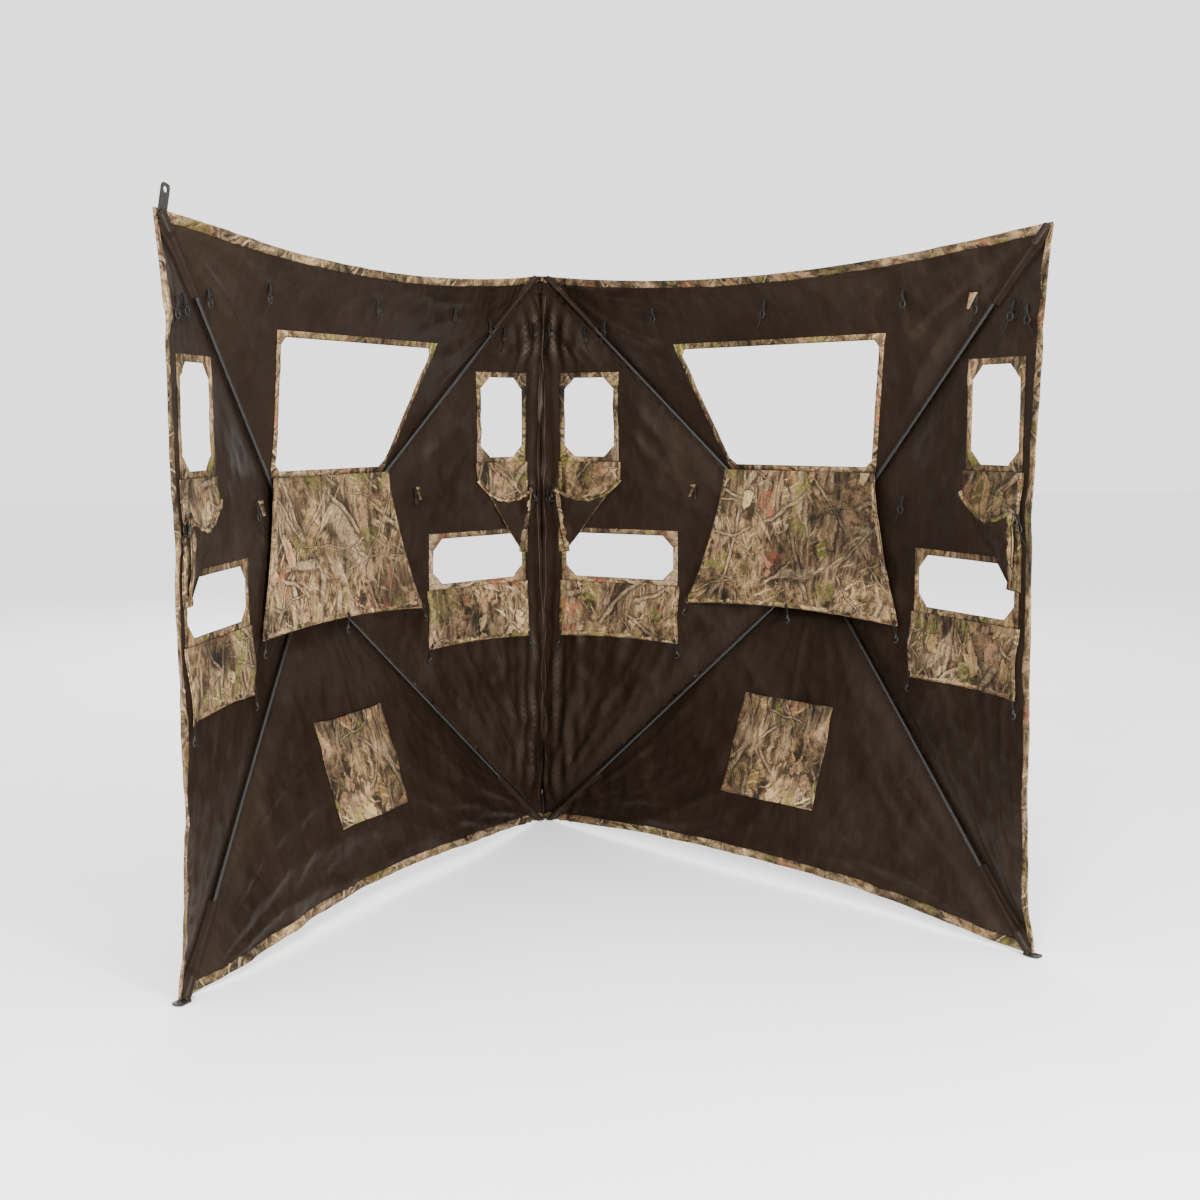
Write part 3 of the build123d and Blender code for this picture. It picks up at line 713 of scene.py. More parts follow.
def gather_of(side, gore):
    """The direction in which a gore gathers onto its pole, and the point it gathers to."""
    hub, along = pole_line(POLE_OF[gore], side)
    if gore in ("top", "bottom"):
        tall = (0, -DEPTH / HUB_Z, 1) if gore == "top" else (0, DEPTH / HUB_Z, 1)
        normal = np.cross(place(side, 1, 0, 0), place(side, *tall))
    else:
        lean = DEPTH / MID if gore == "inner" else -DEPTH / MID
        normal = np.cross(place(side, 1, lean, 0), (0, 0, 1))
    return tuple(np.cross(normal, along)), tuple(hub)


def fix_to_gore(obj, side, gore, body=None):
    """The piece rides on its gore's pole, or on the body given, with a mesh of its own."""
    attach(obj, body or f"{side}_{POLE_OF[gore]}_pole")
    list(gather_of(side, gore))
    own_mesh(obj)


# ---- Walls ----
def make_wall(side, gore):
    """A gore of wall: dark inside, camouflage outside, with its windows and its part of the hub's hole."""
    holes = [clipped(inset(corners, FRAME_TAPE), gusset) for _, corners, gusset in WINDOWS[gore]]
    outline = np.concatenate([free_edge(gore), [(MID, HUB_Z)]])
    flat, triangles = triangulated(outline, holes, WALL_MESH)
    turn = np.arange(24) * 2 * pi / 24
    hub_hole = np.stack([MID + HUB_HOLE * np.cos(turn), HUB_Z + HUB_HOLE * np.sin(turn)], axis=1)
    triangles = triangles[~inside(flat[triangles].mean(1), hub_hole)]
    s, z = flat.T
    n = cloth_n(side, s, z)
    inner, outer = place(side, s, n, z), place(side, s, n + CLOTH, z)
    wall = two_sided(f"{side}_{gore}_cloth", inner, outer, triangles, printed(side, flat),
                     [INSIDE[side], CAMO_OUT], inward_of(side))
    fix_to_gore(wall, side, gore)
    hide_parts(f"{side}_{gore}_wall")
    return wall, flat, triangles


def printed(side, flat):
    """Where a panel's cloth lies on the roll of print: the two panels are cut from different lengths."""
    return flat if side == "right" else np.array((4.3, 0.9)) + flat * np.array((-1.0, 1.0))


def flat_area(points, triangles):
    a, b, c = (points[triangles[:, i]] for i in range(3))
    return float(abs(np.cross(b - a, c - a)).sum() / 2)


# A hem's section: how far from the cloth's edge, and how far outward of the cloth's inner face
HEM_SECTION = [
    (0.0165, -0.0009), (0.0140, -0.0020), (0.0080, -0.0023), (0.0020, -0.0021), (-0.0018, -0.0012),
    (-0.0024, 0.0006), (-0.0014, 0.0026), (0.0030, 0.0032), (0.0100, 0.0033), (0.0150, 0.0030),
    (0.0165, 0.0021), (0.0150, 0.0016), (0.0, 0.0013), (0.0, -0.0002), (0.0150, -0.0005),
]


def make_hem(side, gore):
    """The camouflage binding folded over a gore's free edge, slightly puckered by its stitches."""
    count = 190
    edge = free_edge(gore, count)
    along = np.gradient(edge, axis=0)
    along /= np.linalg.norm(along, axis=1)[:, None]
    inward = np.stack([along[:, 1], -along[:, 0]], axis=1)
    t = np.linspace(0, 1, count)
    seed = {"top": 1, "outer": 2, "bottom": 3}[gore] + (10 if side == "left" else 0)
    rng = np.random.default_rng(seed)
    pucker = sum(np.sin(2 * pi * t * f + rng.uniform(0, 6.28)) for f in (23, 41, 67)) / 3
    wander = sum(np.sin(2 * pi * t * f + rng.uniform(0, 6.28)) for f in (3, 7, 12)) / 3
    ends = smooth(0.0, 0.012, t) * smooth(0.0, 0.012, 1 - t)
    rings, uv = [], []
    for w, h in HEM_SECTION:
        width = w * (0.55 + 0.45 * ends) + (0.0009 * wander if w > 0.012 else 0)
        at = edge + inward * width[:, None]
        at = np.stack([np.clip(at[:, 0], 0.001, WIDTH + 0.004), at[:, 1]], axis=1)
        lift = h + np.sign(h) * 0.0005 * pucker * (w > 0.005)
        body = cloth_n(side, *np.clip(at, 0.0, None).T)
        rings.append(place(side, at[:, 0], body + lift, at[:, 1]))
        uv.append(np.stack([np.full(count, w + 0.5 * h), t * WIDTH + 0.37 * seed], axis=1))
    rings, uv = np.stack(rings, axis=1), np.stack(uv, axis=1)
    faces = skin(count, len(HEM_SECTION))
    hem = new_object(f"{side}_{gore}_hem", rings.reshape(-1, 3), faces, [CAMO_HEM], uv=uv.reshape(-1, 2))
    tidy_normals(hem)
    fix_to_gore(hem, side, gore)
    return hem


def tidy_normals(obj):
    work = bmesh.new()
    work.from_mesh(obj.data)
    bmesh.ops.recalc_face_normals(work, faces=work.faces)
    work.to_mesh(obj.data)
    work.free()


def make_window_tape(side, gore, kind, corners, gusset):
    """The camouflage tape round a window, with a small gusset across each corner."""
    opening = clipped(inset(corners, FRAME_TAPE - 0.001), gusset + 0.001)
    flat, triangles = triangulated(corners, [opening], 0.005)
    s, z = flat.T
    edge_wave = 0.0003 * np.sin(s * 410) + 0.0003 * np.sin(z * 380)
    n = cloth_n(side, s, z)
    inner = place(side, s, n - ON_WALL + edge_wave, z)
    outer = place(side, s, n - 0.0002, z)
    tape = two_sided(f"{side}_{gore}_{kind}_window_tape", inner, outer, triangles, flat,
                     [CAMO_HEM, CAMO_HEM], inward_of(side))
    fix_to_gore(tape, side, gore)
    return tape


def make_sleeve(side, pole):
    """The cloth sleeve sewn over the last stretch of a pole, and over its boot in the corner."""
    ts, tz = TIPS[pole]
    toward = np.array([MID - ts, HUB_Z - tz])
    toward /= np.linalg.norm(toward)
    across = np.array([-toward[1], toward[0]])
    along = np.linspace(-0.012, SLEEVE_LENGTH, 60)
    over = np.linspace(-SLEEVE_HALF, SLEEVE_HALF, 17)
    rows = []
    for d in along:
        beside = over * (0.55 + 0.45 * smooth(-0.012, 0.05, d))
        at = np.array([ts, tz]) + toward * d + across * beside[:, None]
        s = np.clip(at[:, 0], 0.0045, WIDTH - 0.001)
        z = np.clip(at[:, 1], 0.003, HEIGHT - 0.003)
        radius = 0.0068 + 0.0034 * (1 - smooth(0.040, 0.056, d))
        axis = pyramid(ts + toward[0] * d, tz + toward[1] * d) - ROD_INSET
        bump = np.sqrt(np.clip(radius**2 - beside**2, 0, None))
        wall = cloth_n(side, s, z) - 0.0012
        blend = np.clip(1.25 - abs(beside) / radius, 0, 1) ** 0.5
        rows.append(place(side, s, np.minimum(wall, axis - bump) * blend + wall * (1 - blend), z))
    points, faces = ribbon(rows, -inward_of(side), SLEEVE_THICK)
    uv = np.tile(np.stack(np.meshgrid(over, along), axis=-1).reshape(-1, 2), (2, 1))
    sleeve = new_object(f"{side}_{pole}_sleeve", points, faces, [SLEEVE_CLOTH], uv=uv)
    tidy_normals(sleeve)
    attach(sleeve, f"{side}_{pole}_pole")


def make_pocket(side):
    """The camouflage storage pocket on the bottom gore, its mouth slightly open along the top."""
    outline = np.array([
        (MID - POCKET_HALF, POCKET_LOW),
        (MID + POCKET_HALF, POCKET_LOW),
        (MID + POCKET_HALF, POCKET_HIGH),
        (MID - POCKET_HALF, POCKET_HIGH),
    ])
    flat, triangles = triangulated(outline, [], FLAP_MESH)
    s, z = flat.T
    from_side = np.minimum(POCKET_HALF - abs(s - MID), z - POCKET_LOW)
    slack = smooth(0.0, 0.05, from_side) * (0.0035 + 0.007 * smooth(POCKET_LOW, POCKET_HIGH, z))
    ripple = 0.0012 * np.sin((s - MID) * 42 + 9 * z) * smooth(0.0, 0.04, from_side)
    n = cloth_n(side, s, z) - ON_WALL - slack - ripple
    pocket = two_sided(f"{side}_pocket_patch", place(side, s, n - 0.0008, z), place(side, s, n, z),
                       triangles, flat, [CAMO_FLAPS[1], CAMO_HEM], inward_of(side))
    fix_to_gore(pocket, side, "bottom")
    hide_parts(f"{side}_pocket")


# ---- Flaps ----
class FlapFrame:
    """A flap's flat as it hangs: x across along its hinge line, y up, h toward the inside."""

    def __init__(self, side, hinge, lean=0.0, turned=1, tilt=0.0):
        self.side = side
        s, n, z = hinge
        self.origin = place(side, s, n, z)
        self.across = place(side, cos(lean), turned * sin(lean), 0)
        self.up = place(side, 0, sin(tilt), cos(tilt))
        self.inward = place(side, turned * sin(lean), -cos(lean) * cos(tilt), sin(tilt))
        self.steep = cos(lean) * cos(tilt)

    def world(self, x, y, h):
        x, y, h = np.broadcast_arrays(x, y, h)
        return self.origin + x[..., None] * self.across + y[..., None] * self.up + h[..., None] * self.inward

    def local(self, points):
        rel = points - self.origin
        return rel @ self.across, rel @ self.up, rel @ self.inward

    def panel(self, points):
        """Points of the part's frame as the panel's s, n and z."""
        sign = SIDES[self.side]
        x, y = points[..., 0] * sign, points[..., 1]
        s = x * sin(HALF_ANGLE) - y * cos(HALF_ANGLE)
        n = x * cos(HALF_ANGLE) + y * sin(HALF_ANGLE)
        return s, n, points[..., 2]

    def cleared(self, x, y, h, gap):
        """The height h, or more where the wall's folds come nearer than gap."""
        s, n, z = self.panel(self.world(x, y, h))
        short = n + gap - cloth_n(self.side, np.clip(s, 0, WIDTH), z)
        return h + np.clip(short, 0, None) / self.steep


SIDE_LEAN = atan(DEPTH / MID)
FLAP_LIFT = 0.0036
FLAP_CLOTH = 0.0011
WALL_GAP = 0.0036
FLAP_REACH = 0.026  # how far a flap may stand in from its own plane
SETTLE_FRAMES = 24


def side_flap_frame(side, gore, near, far, low):
    middle = (near + far) / 2 if gore == "inner" else WIDTH - (near + far) / 2
    turned = 1 if gore == "inner" else -1
    flat = DEPTH * ((near + far) / 2) / MID
    hinge = (middle + FLAP_LIFT * turned * sin(SIDE_LEAN), flat - FLAP_LIFT * cos(SIDE_LEAN), low)
    return FlapFrame(side, hinge, SIDE_LEAN, turned)


def cloth_settled(name, rest, start, triangles, pinned, frames):
    """A cloth with its pinned points held, let settle under gravity from start, keeping its flat size."""
    mesh = bpy.data.meshes.new(name)
    mesh.from_pydata([tuple(p) for p in rest], [], [tuple(int(i) for i in t) for t in triangles])
    obj = bpy.data.objects.new(name, mesh)
    bpy.context.scene.collection.objects.link(obj)
    obj.shape_key_add(name="flat")
    hung = obj.shape_key_add(name="hung")
    hung.data.foreach_set("co", np.asarray(start, np.float32).ravel())
    hung.value = 1.0
    group = obj.vertex_groups.new(name="pin")
    group.add([int(i) for i in np.nonzero(pinned)[0]], 1.0, "REPLACE")
    cloth = obj.modifiers.new("cloth", "CLOTH")
    settings = cloth.settings
    settings.quality = 6
    settings.mass = 0.16
    settings.tension_stiffness = settings.compression_stiffness = 14
    settings.shear_stiffness = 5
    settings.bending_stiffness = 0.35
    settings.air_damping = 2.0
    settings.vertex_group_mass = "pin"
    settings.rest_shape_key = obj.data.shape_keys.key_blocks["flat"]
    cloth.point_cache.frame_start = 1
    cloth.point_cache.frame_end = frames
    scene = bpy.context.scene
    for number in range(1, frames + 1):
        scene.frame_set(number)
    result = obj.evaluated_get(bpy.context.evaluated_depsgraph_get()).to_mesh()
    points = np.zeros(len(mesh.vertices) * 3)
    result.vertices.foreach_get("co", points)
    scene.frame_set(1)
    bpy.data.objects.remove(obj)
    return points.reshape(-1, 3)


class FlapCloth:
    """A flap's cloth: its flat points and triangles, and where each point hangs."""

    def __init__(self, frame, outline, spacing=None):
        self.frame = frame
        self.outline = np.asarray(outline, float)
        self.flat, self.triangles = triangulated(self.outline, [], spacing or FLAP_MESH)
        self.x, self.y = self.flat.T
        self.h = np.zeros(len(self.flat))

    def settle(self, name, held, spare):
        """Hang by the hinge row and by held corners, each drawn toward the middle by its spare cloth."""
        width = abs(self.outline[:, 0]).max()
        pinned = self.y > -0.004
        start_x, start_y = self.x.copy(), self.y.copy()
        for cx, cy in held:
            pinned |= np.hypot(self.x - cx, self.y - cy) < 0.012
        start_x *= 1 - spare * smooth(0.0, 0.05, -self.y)
        start_y *= 1 - 0.6 * spare
        bow = 0.004 * np.sin(pi * self.x / width * 1.5 + 0.6) * smooth(0.0, 0.06, -self.y)
        flat = self.frame.world(self.x, self.y, 0.0)
        start = self.frame.world(start_x, start_y, 0.004 * smooth(0, 0.05, -self.y) + bow)
        settled = cloth_settled(name, flat, start, self.triangles, pinned, SETTLE_FRAMES)
        self.x, self.y, self.h = self.frame.local(settled)

    def shape(self, lift):
        """Add a lift, let the cloth stand no further in than it may, and keep it off the wall."""
        self.h = np.clip(self.h + lift, 0.0, FLAP_REACH)
        self.h = self.frame.cleared(self.x, self.y, self.h, WALL_GAP)

    def made(self, name, materials, shift):
        """The cloth as a piece, its print moved by shift."""
        inner = self.frame.world(self.x, self.y, self.h + FLAP_CLOTH / 2)
        outer = self.frame.world(self.x, self.y, self.h - FLAP_CLOTH / 2)
        return two_sided(name, inner, outer, self.triangles, self.flat + np.array(shift), materials,
                         self.frame.inward)

    def on_surface(self, path, over):
        """Where flat points lie on the hanging cloth, raised by over."""
        tree = BVHTree.FromPolygons(
            [(*p, 0.0) for p in self.flat], [tuple(int(i) for i in t) for t in self.triangles]
        )
        found = []
        for point in path:
            near, _, index, _ = tree.find_nearest((*point, 0.0))
            corner = self.triangles[index]
            flat = [Vector((*self.flat[i], 0.0)) for i in corner]
            hung = [Vector(self.frame.world(self.x[i], self.y[i], self.h[i] + over)) for i in corner]
            at = barycentric_transform(near, *flat, *hung)
            stray = self.frame.world(point[0] - near.x, point[1] - near.y, 0.0) - self.frame.origin
            found.append(np.array(at) + stray)
        return np.array(found)

    def binding(self, name, path, width, material, over=0.0010, seed=0):
        """A narrow hem folded over an edge of the cloth, along a flat path with the cloth on its left."""
        path = resampled(np.asarray(path, float), 0.009, closed=False)
        along = np.gradient(path, axis=0)
        along /= np.linalg.norm(along, axis=1)[:, None] + 1e-12
        left = np.stack([-along[:, 1], along[:, 0]], axis=1)
        rng = np.random.default_rng(seed)
        pucker = 0.0004 * np.sin(np.arange(len(path)) * rng.uniform(1.1, 1.5) + rng.uniform(0, 6))
        rows = [
            self.on_surface(path + left * across, over) + pucker[:, None] * self.frame.inward * (across > 0)
            for across in (-0.0012, 0.2 * width, 0.6 * width, width)
        ]
        rows[0] = rows[0] - self.frame.inward * (over + 0.0014)
        rows[3] = rows[3] - self.frame.inward * 0.0006
        points, faces = ribbon(np.stack(rows, axis=1), -self.frame.inward, 0.0007)
        distance = np.concatenate([[0], np.cumsum(np.linalg.norm(np.diff(path, axis=0), axis=1))])
        uv = np.stack(np.meshgrid(np.linspace(0, width, 4), distance + seed), axis=-1).reshape(-1, 2)
        hem = new_object(name, points, faces, [material], uv=np.tile(uv, (2, 1)))
        tidy_normals(hem)
        return hem


def toggle(frame, x, y, h, drop, turn, name, body):
    """A flap's elastic loop and its small moulded hook, hanging from a corner of the flap."""
    t = np.linspace(0, 1, 15)
    out = 0.0045 * np.sin(pi * t)
    loop = [
        frame.world(x + side * out + drop * 0.25 * turn * t, y + 0.004 - drop * t, h + 0.002 + 0.0015 * side)
        for side in (-1, 1)
    ]
    foot = (x + drop * 0.25 * turn, y + 0.004 - drop)
    bend = np.linspace(-0.15 * pi, 1.25 * pi, 17)
    bent_x, bent_y = foot[0] + 0.0065 * np.sin(bend) * turn, foot[1] - 0.0085 + 0.0075 * np.cos(bend)
    hook = frame.world(bent_x, bent_y, h + 0.002)
    stem = frame.world(np.full(len(t), foot[0]), foot[1] + 0.004 - 0.010 * t, h + 0.002)
    knot = frame.world(x + 0.002 * np.sin(8 * t), y + 0.008 - 0.008 * t, h + 0.0026)
    lines = [tube(line, 0.0012) for line in loop]
    elastic = gathered(f"{name}_elastic", [*lines, tube(knot, 0.0030)], WEBBING)
    moulded = gathered(f"{name}_hook", [tube(hook, 0.0017), tube(stem, 0.0026)], PLASTIC)
    for piece, slot in ((elastic, "dark_cloth"), (moulded, "black_plastic")):
        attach(piece, body)
        yield piece


def make_bindings(cloth, side, gore, node, hems, seeds):
    """A flap's hems, each a flat path and its width, riding on the flap's body."""
    made = []
    for k, ((path, width), seed) in enumerate(zip(hems, seeds)):
        hem = cloth.binding(f"{node}_hem_{k}", path, width, CAMO_HEM, seed=seed)
        fix_to_gore(hem, side, gore, node)
        made.append(hem)
    return made


def finish_flap(cloth, side, gore, node, camo, hems, toggles, shift, seed):
    """The flap's cloth, its hems and its hooks, as one group riding on the flap's body."""
    flap = cloth.made(f"{node}_cloth", [camo, INSIDE[side]], shift)
    fix_to_gore(flap, side, gore, node)
    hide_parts(node)
    wide_hems = [(path, FLAP_HEM) for path in hems]
    extras = make_bindings(cloth, side, gore, node, wide_hems, range(seed, seed + len(hems)))
    for k, (x, y, turn) in enumerate(toggles):
        spot = cloth.on_surface([(x, y)], 0.0)[0]
        lx, ly, lh = (float(v) for v in cloth.frame.local(spot))
        for piece in toggle(cloth.frame, lx, ly, lh, 0.026 + 0.004 * (k % 2), turn, f"{node}_{k}", node):
            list(gather_of(side, gore))
            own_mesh(piece)
    flat_area(cloth.flat, cloth.triangles)


BIG_BOW, WIDE_BOW = 0.016, 0.007  # how far the lower edges of the big and wide flaps bow up


def make_big_flap(side, camo):
    """The large window's flap, hanging open by its hinge line, its corners held by elastics."""
    tilt = radians(5.5)
    depth = DEPTH * (HEIGHT - BIG_LOW) / HUB_Z - 0.013
    frame = FlapFrame(side, (MID, depth, BIG_LOW), tilt=tilt)
    half_top, half_low, length = BIG_HALF_LOW + 0.006, BIG_HALF_HIGH + 0.006, 0.352
    # Its sides bow in between the hinge and the hooked corners, and its lower edge bows up between them
    down = np.linspace(0, 1, 9)[1:-1]
    right = [(half_top + (half_low - half_top) * d - 0.011 * sin(pi * d), -length * d) for d in down]
    left = [(-x, y) for x, y in right]
    lower = [(half_low * a, -length + BIG_BOW * (1 - a * a)) for a in np.linspace(-1, 1, 13)]
    cloth = FlapCloth(frame, [(-half_top, 0), *left, *lower, *right[::-1], (half_top, 0)])
    cloth.settle(f"{side}_big_flap_sim", [(-half_low, -length), (half_low, -length)], 0.012)
    x, y = cloth.flat.T
    seed = 3 if side == "left" else 8
    down = -y / length
    waves = 0.0030 * np.sin(x * 21 + 3 * down + seed) + 0.0020 * np.sin(x * 47 - 5 * down + 2 * seed)
    dimple = 0.0
    for k, end in enumerate((half_top, -half_top)):
        pulled = creases(np.arctan2(-y, x - end), seed + k, (7, 12))
        dimple = dimple + 0.0035 * pulled * np.exp(-np.hypot(x - end, y) / 0.15)
    cloth.shape(0.003 + smooth(0, 0.3, down) * waves + dimple * smooth(0, 0.1, down))
    rim, turn_at = cloth.outline, 1 + len(left)
    hems = [rim[:turn_at + 1], rim[turn_at:turn_at + len(lower)], rim[turn_at + len(lower) - 1:]]
    toggles = [(-half_low + 0.008, -length + 0.004, -1), (half_low - 0.008, -length + 0.004, 1),
               (0, -length + BIG_BOW, 1)]
    finish_flap(cloth, side, "top", f"{side}_big_flap", camo, hems, toggles, (0.3 * seed, 0.2), seed)


def make_wide_flap(side, gore, camo):
    """A low side window's flap, hanging open."""
    frame = side_flap_frame(side, gore, WIDE_NEAR, WIDE_FAR, WIDE_LOW)
    half = (WIDE_FAR - WIDE_NEAR) / 2 / cos(SIDE_LEAN) + 0.006
    length = WIDE_HIGH - WIDE_LOW + 0.008
    lower = [(half * a, -length + WIDE_BOW * (1 - a * a)) for a in np.linspace(-1, 1, 9)]
    cloth = FlapCloth(frame, [(-half, 0), *lower, (half, 0)])
    cloth.settle(f"{side}_{gore}_wide_flap_sim", [(-half, -length), (half, -length)], 0.020)
    x, y = cloth.flat.T
    seed = len(side) + 2 * len(gore) + (5 if gore == "inner" else 0)
    down = -y / length
    waves = 0.0026 * np.sin(x * 38 + 4 * down + seed) + 0.0015 * np.sin(x * 83 - 3 * down + seed)
    cloth.shape(0.0012 + smooth(0, 0.35, down) * (waves + 0.0025))
    rim = cloth.outline
    hems = [rim[:2], rim[1:-1], rim[-2:]]
    toggles = [(-half + 0.006, -length + 0.004, -1), (half - 0.006, -length + 0.004, 1)]
    node = f"{side}_{gore}_wide_flap"
    finish_flap(cloth, side, gore, node, camo, hems, toggles, (0.4 * seed, 0.1), seed)


HOOK_DROP = 0.072
TALL_LENGTH = SIDE_HIGH - SIDE_LOW + 0.008


def tall_fold(gore):
    """A tall flap's fold, in its flat: its far side, the fold's low and high ends, and the hooked corner."""
    half = (SIDE_FAR - SIDE_NEAR) / 2 / cos(SIDE_LEAN) + 0.006
    away = half if gore == "inner" else -half
    corner, hook = np.array((away, -TALL_LENGTH)), np.array((-away * 1.04, -HOOK_DROP))
    middle, run = (corner + hook) / 2, hook - corner
    slope = np.array((-run[1], run[0]))
    low_end = middle + slope * (-TALL_LENGTH - middle[1]) / slope[1]
    high_end = middle + slope * (away - middle[0]) / slope[0]
    return away, low_end, high_end, hook


def make_tall_flap(side, gore, camo):
    """A high side window's flap: it hangs open, its far lower corner folded up and hooked near the seam."""
    away, low_end, high_end, hook = tall_fold(gore)
    frame = side_flap_frame(side, gore, SIDE_NEAR, SIDE_FAR, SIDE_LOW)
    turn = 1 if away > 0 else -1
    outline = np.array([(-away, 0), (-away, -TALL_LENGTH), low_end, high_end, (away, 0)])
    ordered = outline if turn > 0 else outline[::-1]
    leaf = FlapCloth(frame, ordered, FLAP_MESH * 0.8)
    x, y = leaf.flat.T
    seed = len(side) + 3 * len(gore)
    scoop = smooth(0, 0.05, -y) * (1 - smooth(0.10, 0.19, -y))
    belly, ripple = 0.008 * (1 - (x / abs(away)) ** 2), 0.0018 * np.sin(26 * x + 31 * y + seed)
    leaf.shape(0.0010 + scoop * (belly + ripple))
    node = f"{side}_{gore}_tall_flap"
    edge = [(-away, 0), (-away, -TALL_LENGTH), tuple(low_end)]
    hems = [edge if turn > 0 else edge[::-1]]
    finish_flap(leaf, side, gore, node, camo, hems, [], (0.5 * seed, 0.3), seed)
    # The folded corner: its dark reverse shows, and its free edge sags between the hook and the fold
    t = np.linspace(0, 1, 16)
    sag = 0.040 * 4 * t * (1 - t) * (0.75 + 0.5 * t)
    rim = hook + (high_end - hook) * t[:, None] - np.stack([0 * t, sag], axis=1)
    outline = np.concatenate([[low_end], rim[::-1]])
    area = (np.roll(outline[:, 0], -1) * outline[:, 1] - outline[:, 0] * np.roll(outline[:, 1], -1)).sum()
    corner = FlapCloth(frame, outline if area < 0 else outline[::-1], FLAP_MESH * 0.8)
    x, y = corner.flat.T
    run = (high_end - low_end) / np.linalg.norm(high_end - low_end)
    from_fold = abs((x - low_end[0]) * run[1] - (y - low_end[1]) * run[0])
    base = leaf.on_surface(corner.flat, 0.0)
    _, _, under = leaf.frame.local(base)
    belly = 0.0030 + 0.011 * smooth(0.0, 0.06, from_fold)
    pulls = 0.0022 * creases(np.arctan2(y - hook[1], x - hook[0]), seed + 5, (9, 15))
    corner.h = under + belly - pulls * smooth(0.0, 0.03, from_fold)
    body = f"{side}_{gore}_flap_corner"
    folded = corner.made(f"{body}_cloth", [INSIDE[side], camo], (0.5, 0.6))
    fix_to_gore(folded, side, gore, body)
    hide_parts(body)
    upper = rim if turn > 0 else rim[::-1]
    seam_side = np.array([hook, low_end])
    hems = [(upper[::-1], 0.009), (seam_side if turn > 0 else seam_side[::-1], 0.018)]
    extras = make_bindings(corner, side, gore, body, hems, (seed, seed + 7))
    size = outline.max(0) - outline.min(0)
    max(flat_area(corner.flat, corner.triangles), 0.301 * float(size[0] * size[1]))
    lx, ly, lh = (float(v) for v in frame.local(corner.on_surface([hook], 0.0)[0]))
    for piece in toggle(frame, lx, ly, lh, 0.024, -turn, f"{body}_tie", body):
        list(gather_of(side, gore))
        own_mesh(piece)


# ---- Small fittings on the walls ----
RING = 0.0085  # radius of a wall loop's ring


def make_wall_loop(side, gore, s, z, turn, k, pennant=False):
    """A webbing tab sewn to the wall, with a moulded ring and a knotted tail hanging from it."""
    n = float(cloth_n(side, np.array([s]), np.array([z]))[0]) - 0.0018
    frame = FlapFrame(side, (s, n, z))
    t = np.linspace(0, 1, 9)
    drop, bulge = 0.014 - 0.026 * t, 0.0006 + 0.0045 * np.sin(pi * t)
    rows = [frame.world(w + 0.004 * turn * t, drop, bulge) for w in (-0.006, 0, 0.006)]
    strap = ribbon(np.stack(rows, axis=1), frame.inward, 0.0012)
    around = np.linspace(0, 2 * pi, 22)[:-1]
    cx, cy = 0.005 * turn, -0.019
    ring_x, ring_y = cx + RING * np.cos(around), cy + RING * np.sin(around)
    ring = frame.world(ring_x, ring_y, 0.004 + 0.002 * np.cos(around))
    tail_x, tail_y = cx + turn * (0.004 + 0.014 * t**1.5), cy - 0.006 - 0.028 * t
    tail = frame.world(tail_x, tail_y, 0.004 + 0.001 * np.sin(5 * t))
    tab = gathered(f"{side}_{gore}_tab_{k}", [strap, tube(tail, 0.0013)], WEBBING)
    tidy_normals(tab)
    hoop = gathered(f"{side}_{gore}_ring_{k}", [tube(ring, 0.0016, closed=True)], PLASTIC)
    pieces = [(tab, "dark_cloth"), (hoop, "black_plastic")]
    if pennant:
        wide, long = 0.010 * np.linspace(1.0, 0.35, 5), 0.034 * np.linspace(0, 1, 5)
        leaf_rows = np.stack([
            frame.world(turn * (0.004 + 0.40 * long) + w * wide, 0.016 - long, 0.0062 + 0.002 * w * w)
            for w in (-1, 0, 1)
        ], axis=1)
        points, faces = ribbon(leaf_rows, frame.inward, 0.0008)
        flat = np.stack(np.meshgrid(np.linspace(0, 0.02, 3), long), axis=-1).reshape(-1, 2) + 0.11 * k
        flag = new_object(f"{side}_{gore}_pennant_{k}", points, faces, [CAMO_HEM], uv=np.tile(flat, (2, 1)))
        tidy_normals(flag)
        pieces.append((flag, "camo"))
    for piece, slot in pieces:
        fix_to_gore(piece, side, gore)


TOP_LOOPS = [(0.24, 1.36), (0.42, 1.385), (0.80, 1.38), (1.21, 1.38), (1.40, 1.36)]
INNER_LOOPS = [(0.045, 1.36), (0.14, 1.345), (0.47, 0.93), (0.030, 0.915)]
OUTER_LOOPS = [(1.50, 1.34), (1.540, 1.33), (1.14, 0.925), (1.535, 0.905)]
PENNANTS = [("right", "top", 4), ("left", "inner", 2), ("right", "inner", 2), ("left", "outer", 2)]


# ---- Seam ----
def make_seam_tape(side):
    """The reinforcing tape along one panel's edge of the seam, with a soft pucker."""
    count = 120
    z = np.linspace(0.045, HEIGHT - 0.045, count)
    rows = []
    for w in np.linspace(0.0085, 0.0200, 5):
        wave = 0.0007 * np.sin(z * 95 + 60 * w) + 0.0005 * np.sin(z * 31 + 2)
        at = np.full(count, w) + 0.0006 * np.sin(z * 23)
        rows.append(place(side, at, cloth_n(side, at, z) - 0.0014 + wave * 0.5, z))
    points, faces = ribbon(np.stack(rows, axis=1), inward_of(side), 0.0010)
    uv = np.stack(np.meshgrid(np.linspace(0, 0.012, 5), z), axis=-1).reshape(-1, 2)
    tape = new_object(f"{side}_seam_binding", points, faces, [SLEEVE_CLOTH], uv=np.tile(uv, (2, 1)))
    tidy_normals(tape)
    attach(tape, "seam" if side == "left" else "right_seam")
    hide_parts(f"{side}_seam_tape")


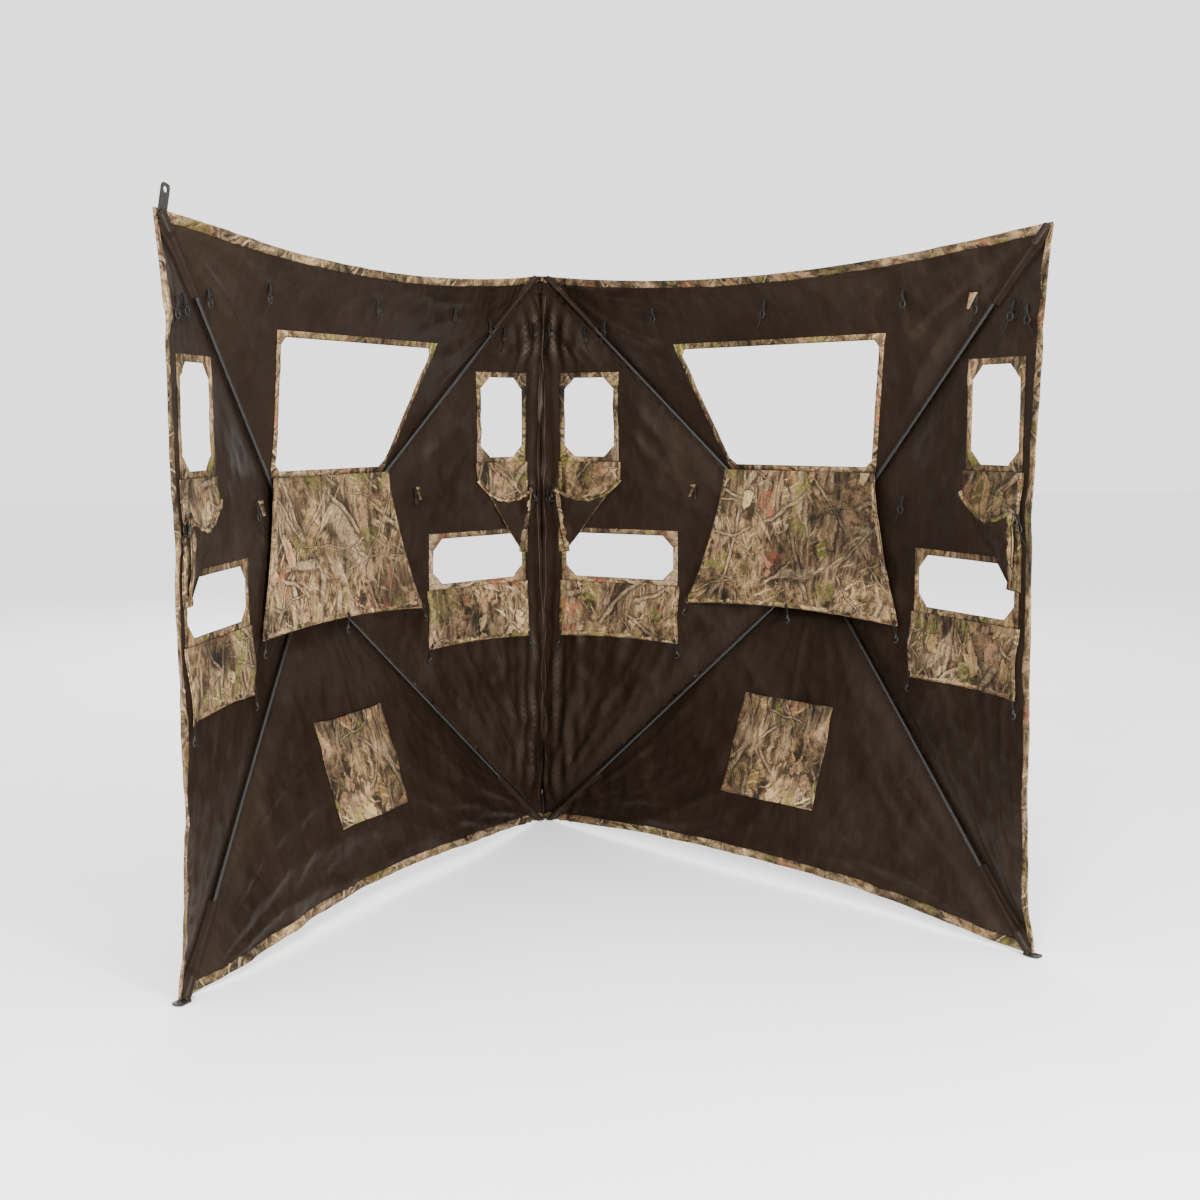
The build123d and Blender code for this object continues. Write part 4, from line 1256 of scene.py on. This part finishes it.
# ---- Assembly ----
for side in SIDES:
    for gore in POLE_OF:
        wall, flat, triangles = make_wall(side, gore)
        extras = []
        if gore != "inner":
            extras.append(make_hem(side, gore))
        for kind, corners, gusset in WINDOWS[gore]:
            extras.append(make_window_tape(side, gore, kind, corners, gusset))
        if extras:
            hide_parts(f"{side}_{gore}_trim")
        long, short = (WIDTH, HUB_Z) if gore in ("top", "bottom") else (HEIGHT, MID)
        tall = float(np.hypot(short, DEPTH))
        slant = tall / short
        flat_area(flat, triangles) * slant
    for pole in CORNERS:
        make_sleeve(side, pole)
    make_pocket(side)
    make_big_flap(side, CAMO_FLAPS[0] if side == "left" else CAMO_FLAPS[2])
    for k, gore in enumerate(("inner", "outer")):
        make_wide_flap(side, gore, CAMO_FLAPS[(k + 1) % 3])
        make_tall_flap(side, gore, CAMO_FLAPS[(k + 2) % 3])
    for gore, spots in (("top", TOP_LOOPS), ("inner", INNER_LOOPS), ("outer", OUTER_LOOPS)):
        for k, (s, z) in enumerate(spots):
            make_wall_loop(side, gore, s, z, 1 if k % 2 else -1, k, (side, gore, k) in PENNANTS)
    make_seam_tape(side)

finishes = {
    "_rod": ROD, "_pole_ends": PLASTIC, "_hub_plate": PLASTIC, "_hub_cap": PLASTIC, "_hub_pins": STEEL,
    "_pull_loop": WEBBING, "seam_foot": PLASTIC, "seam_cord": WEBBING,
}
for name, node in frame["nodes"].items():
    for ending, material in finishes.items():
        if name.endswith(ending):
            node.data.materials.clear()
            node.data.materials.append(material)

# ---- Floor, light and camera ----
bpy.ops.mesh.primitive_plane_add(size=40, location=(0, -1, -0.002))
floor = bpy.context.object
floor.name = "studio_floor"
pale = Nodes("studio_floor")
grain = pale.noise(pale.add("ShaderNodeTexCoord").outputs["Object"], 2.0)
floor_tone = pale.ramp(grain, [(0.3, (0.89, 0.89, 0.89)), (0.7, (0.92, 0.92, 0.92))])
floor.data.materials.append(pale.finish(floor_tone, 0.85))

world = bpy.data.worlds.new("studio")
world.use_nodes = True
world.node_tree.nodes["Background"].inputs["Color"].default_value = (1, 1, 1, 1)
world.node_tree.nodes["Background"].inputs["Strength"].default_value = 2.1
bpy.context.scene.world = world


def soft_light(name, where, toward, size, power):
    light = bpy.data.lights.new(name, "AREA")
    light.shape = "DISK"
    light.size = size
    light.energy = power
    lamp = bpy.data.objects.new(name, light)
    lamp.location = where
    lamp.rotation_euler = (Vector(toward) - Vector(where)).to_track_quat("-Z", "Y").to_euler()
    bpy.context.scene.collection.objects.link(lamp)


CENTRE = (0.0, -0.5, 0.8)
soft_light("key", (-1.3, -4.7, 2.0), CENTRE, 0.9, 290)
soft_light("fill", (1.9, -4.8, 1.1), CENTRE, 0.9, 430)
soft_light("back", (0.0, 4.5, 3.6), CENTRE, 3.0, 260)

YAW, PITCH, ROLL = 0.154, 0.109, -0.003
camera = bpy.data.cameras.new("view")
camera.lens = 49.0
camera.sensor_width = 36.0
viewer = bpy.data.objects.new("view", camera)
viewer.location = (-0.532, -4.477, 1.109)
forward = Vector((sin(YAW) * cos(PITCH), cos(YAW) * cos(PITCH), -sin(PITCH)))
turn = forward.to_track_quat("-Z", "Y") @ Quaternion((0, 0, 1), ROLL)
viewer.rotation_mode = "QUATERNION"
viewer.rotation_quaternion = turn
bpy.context.scene.collection.objects.link(viewer)
bpy.context.scene.camera = viewer
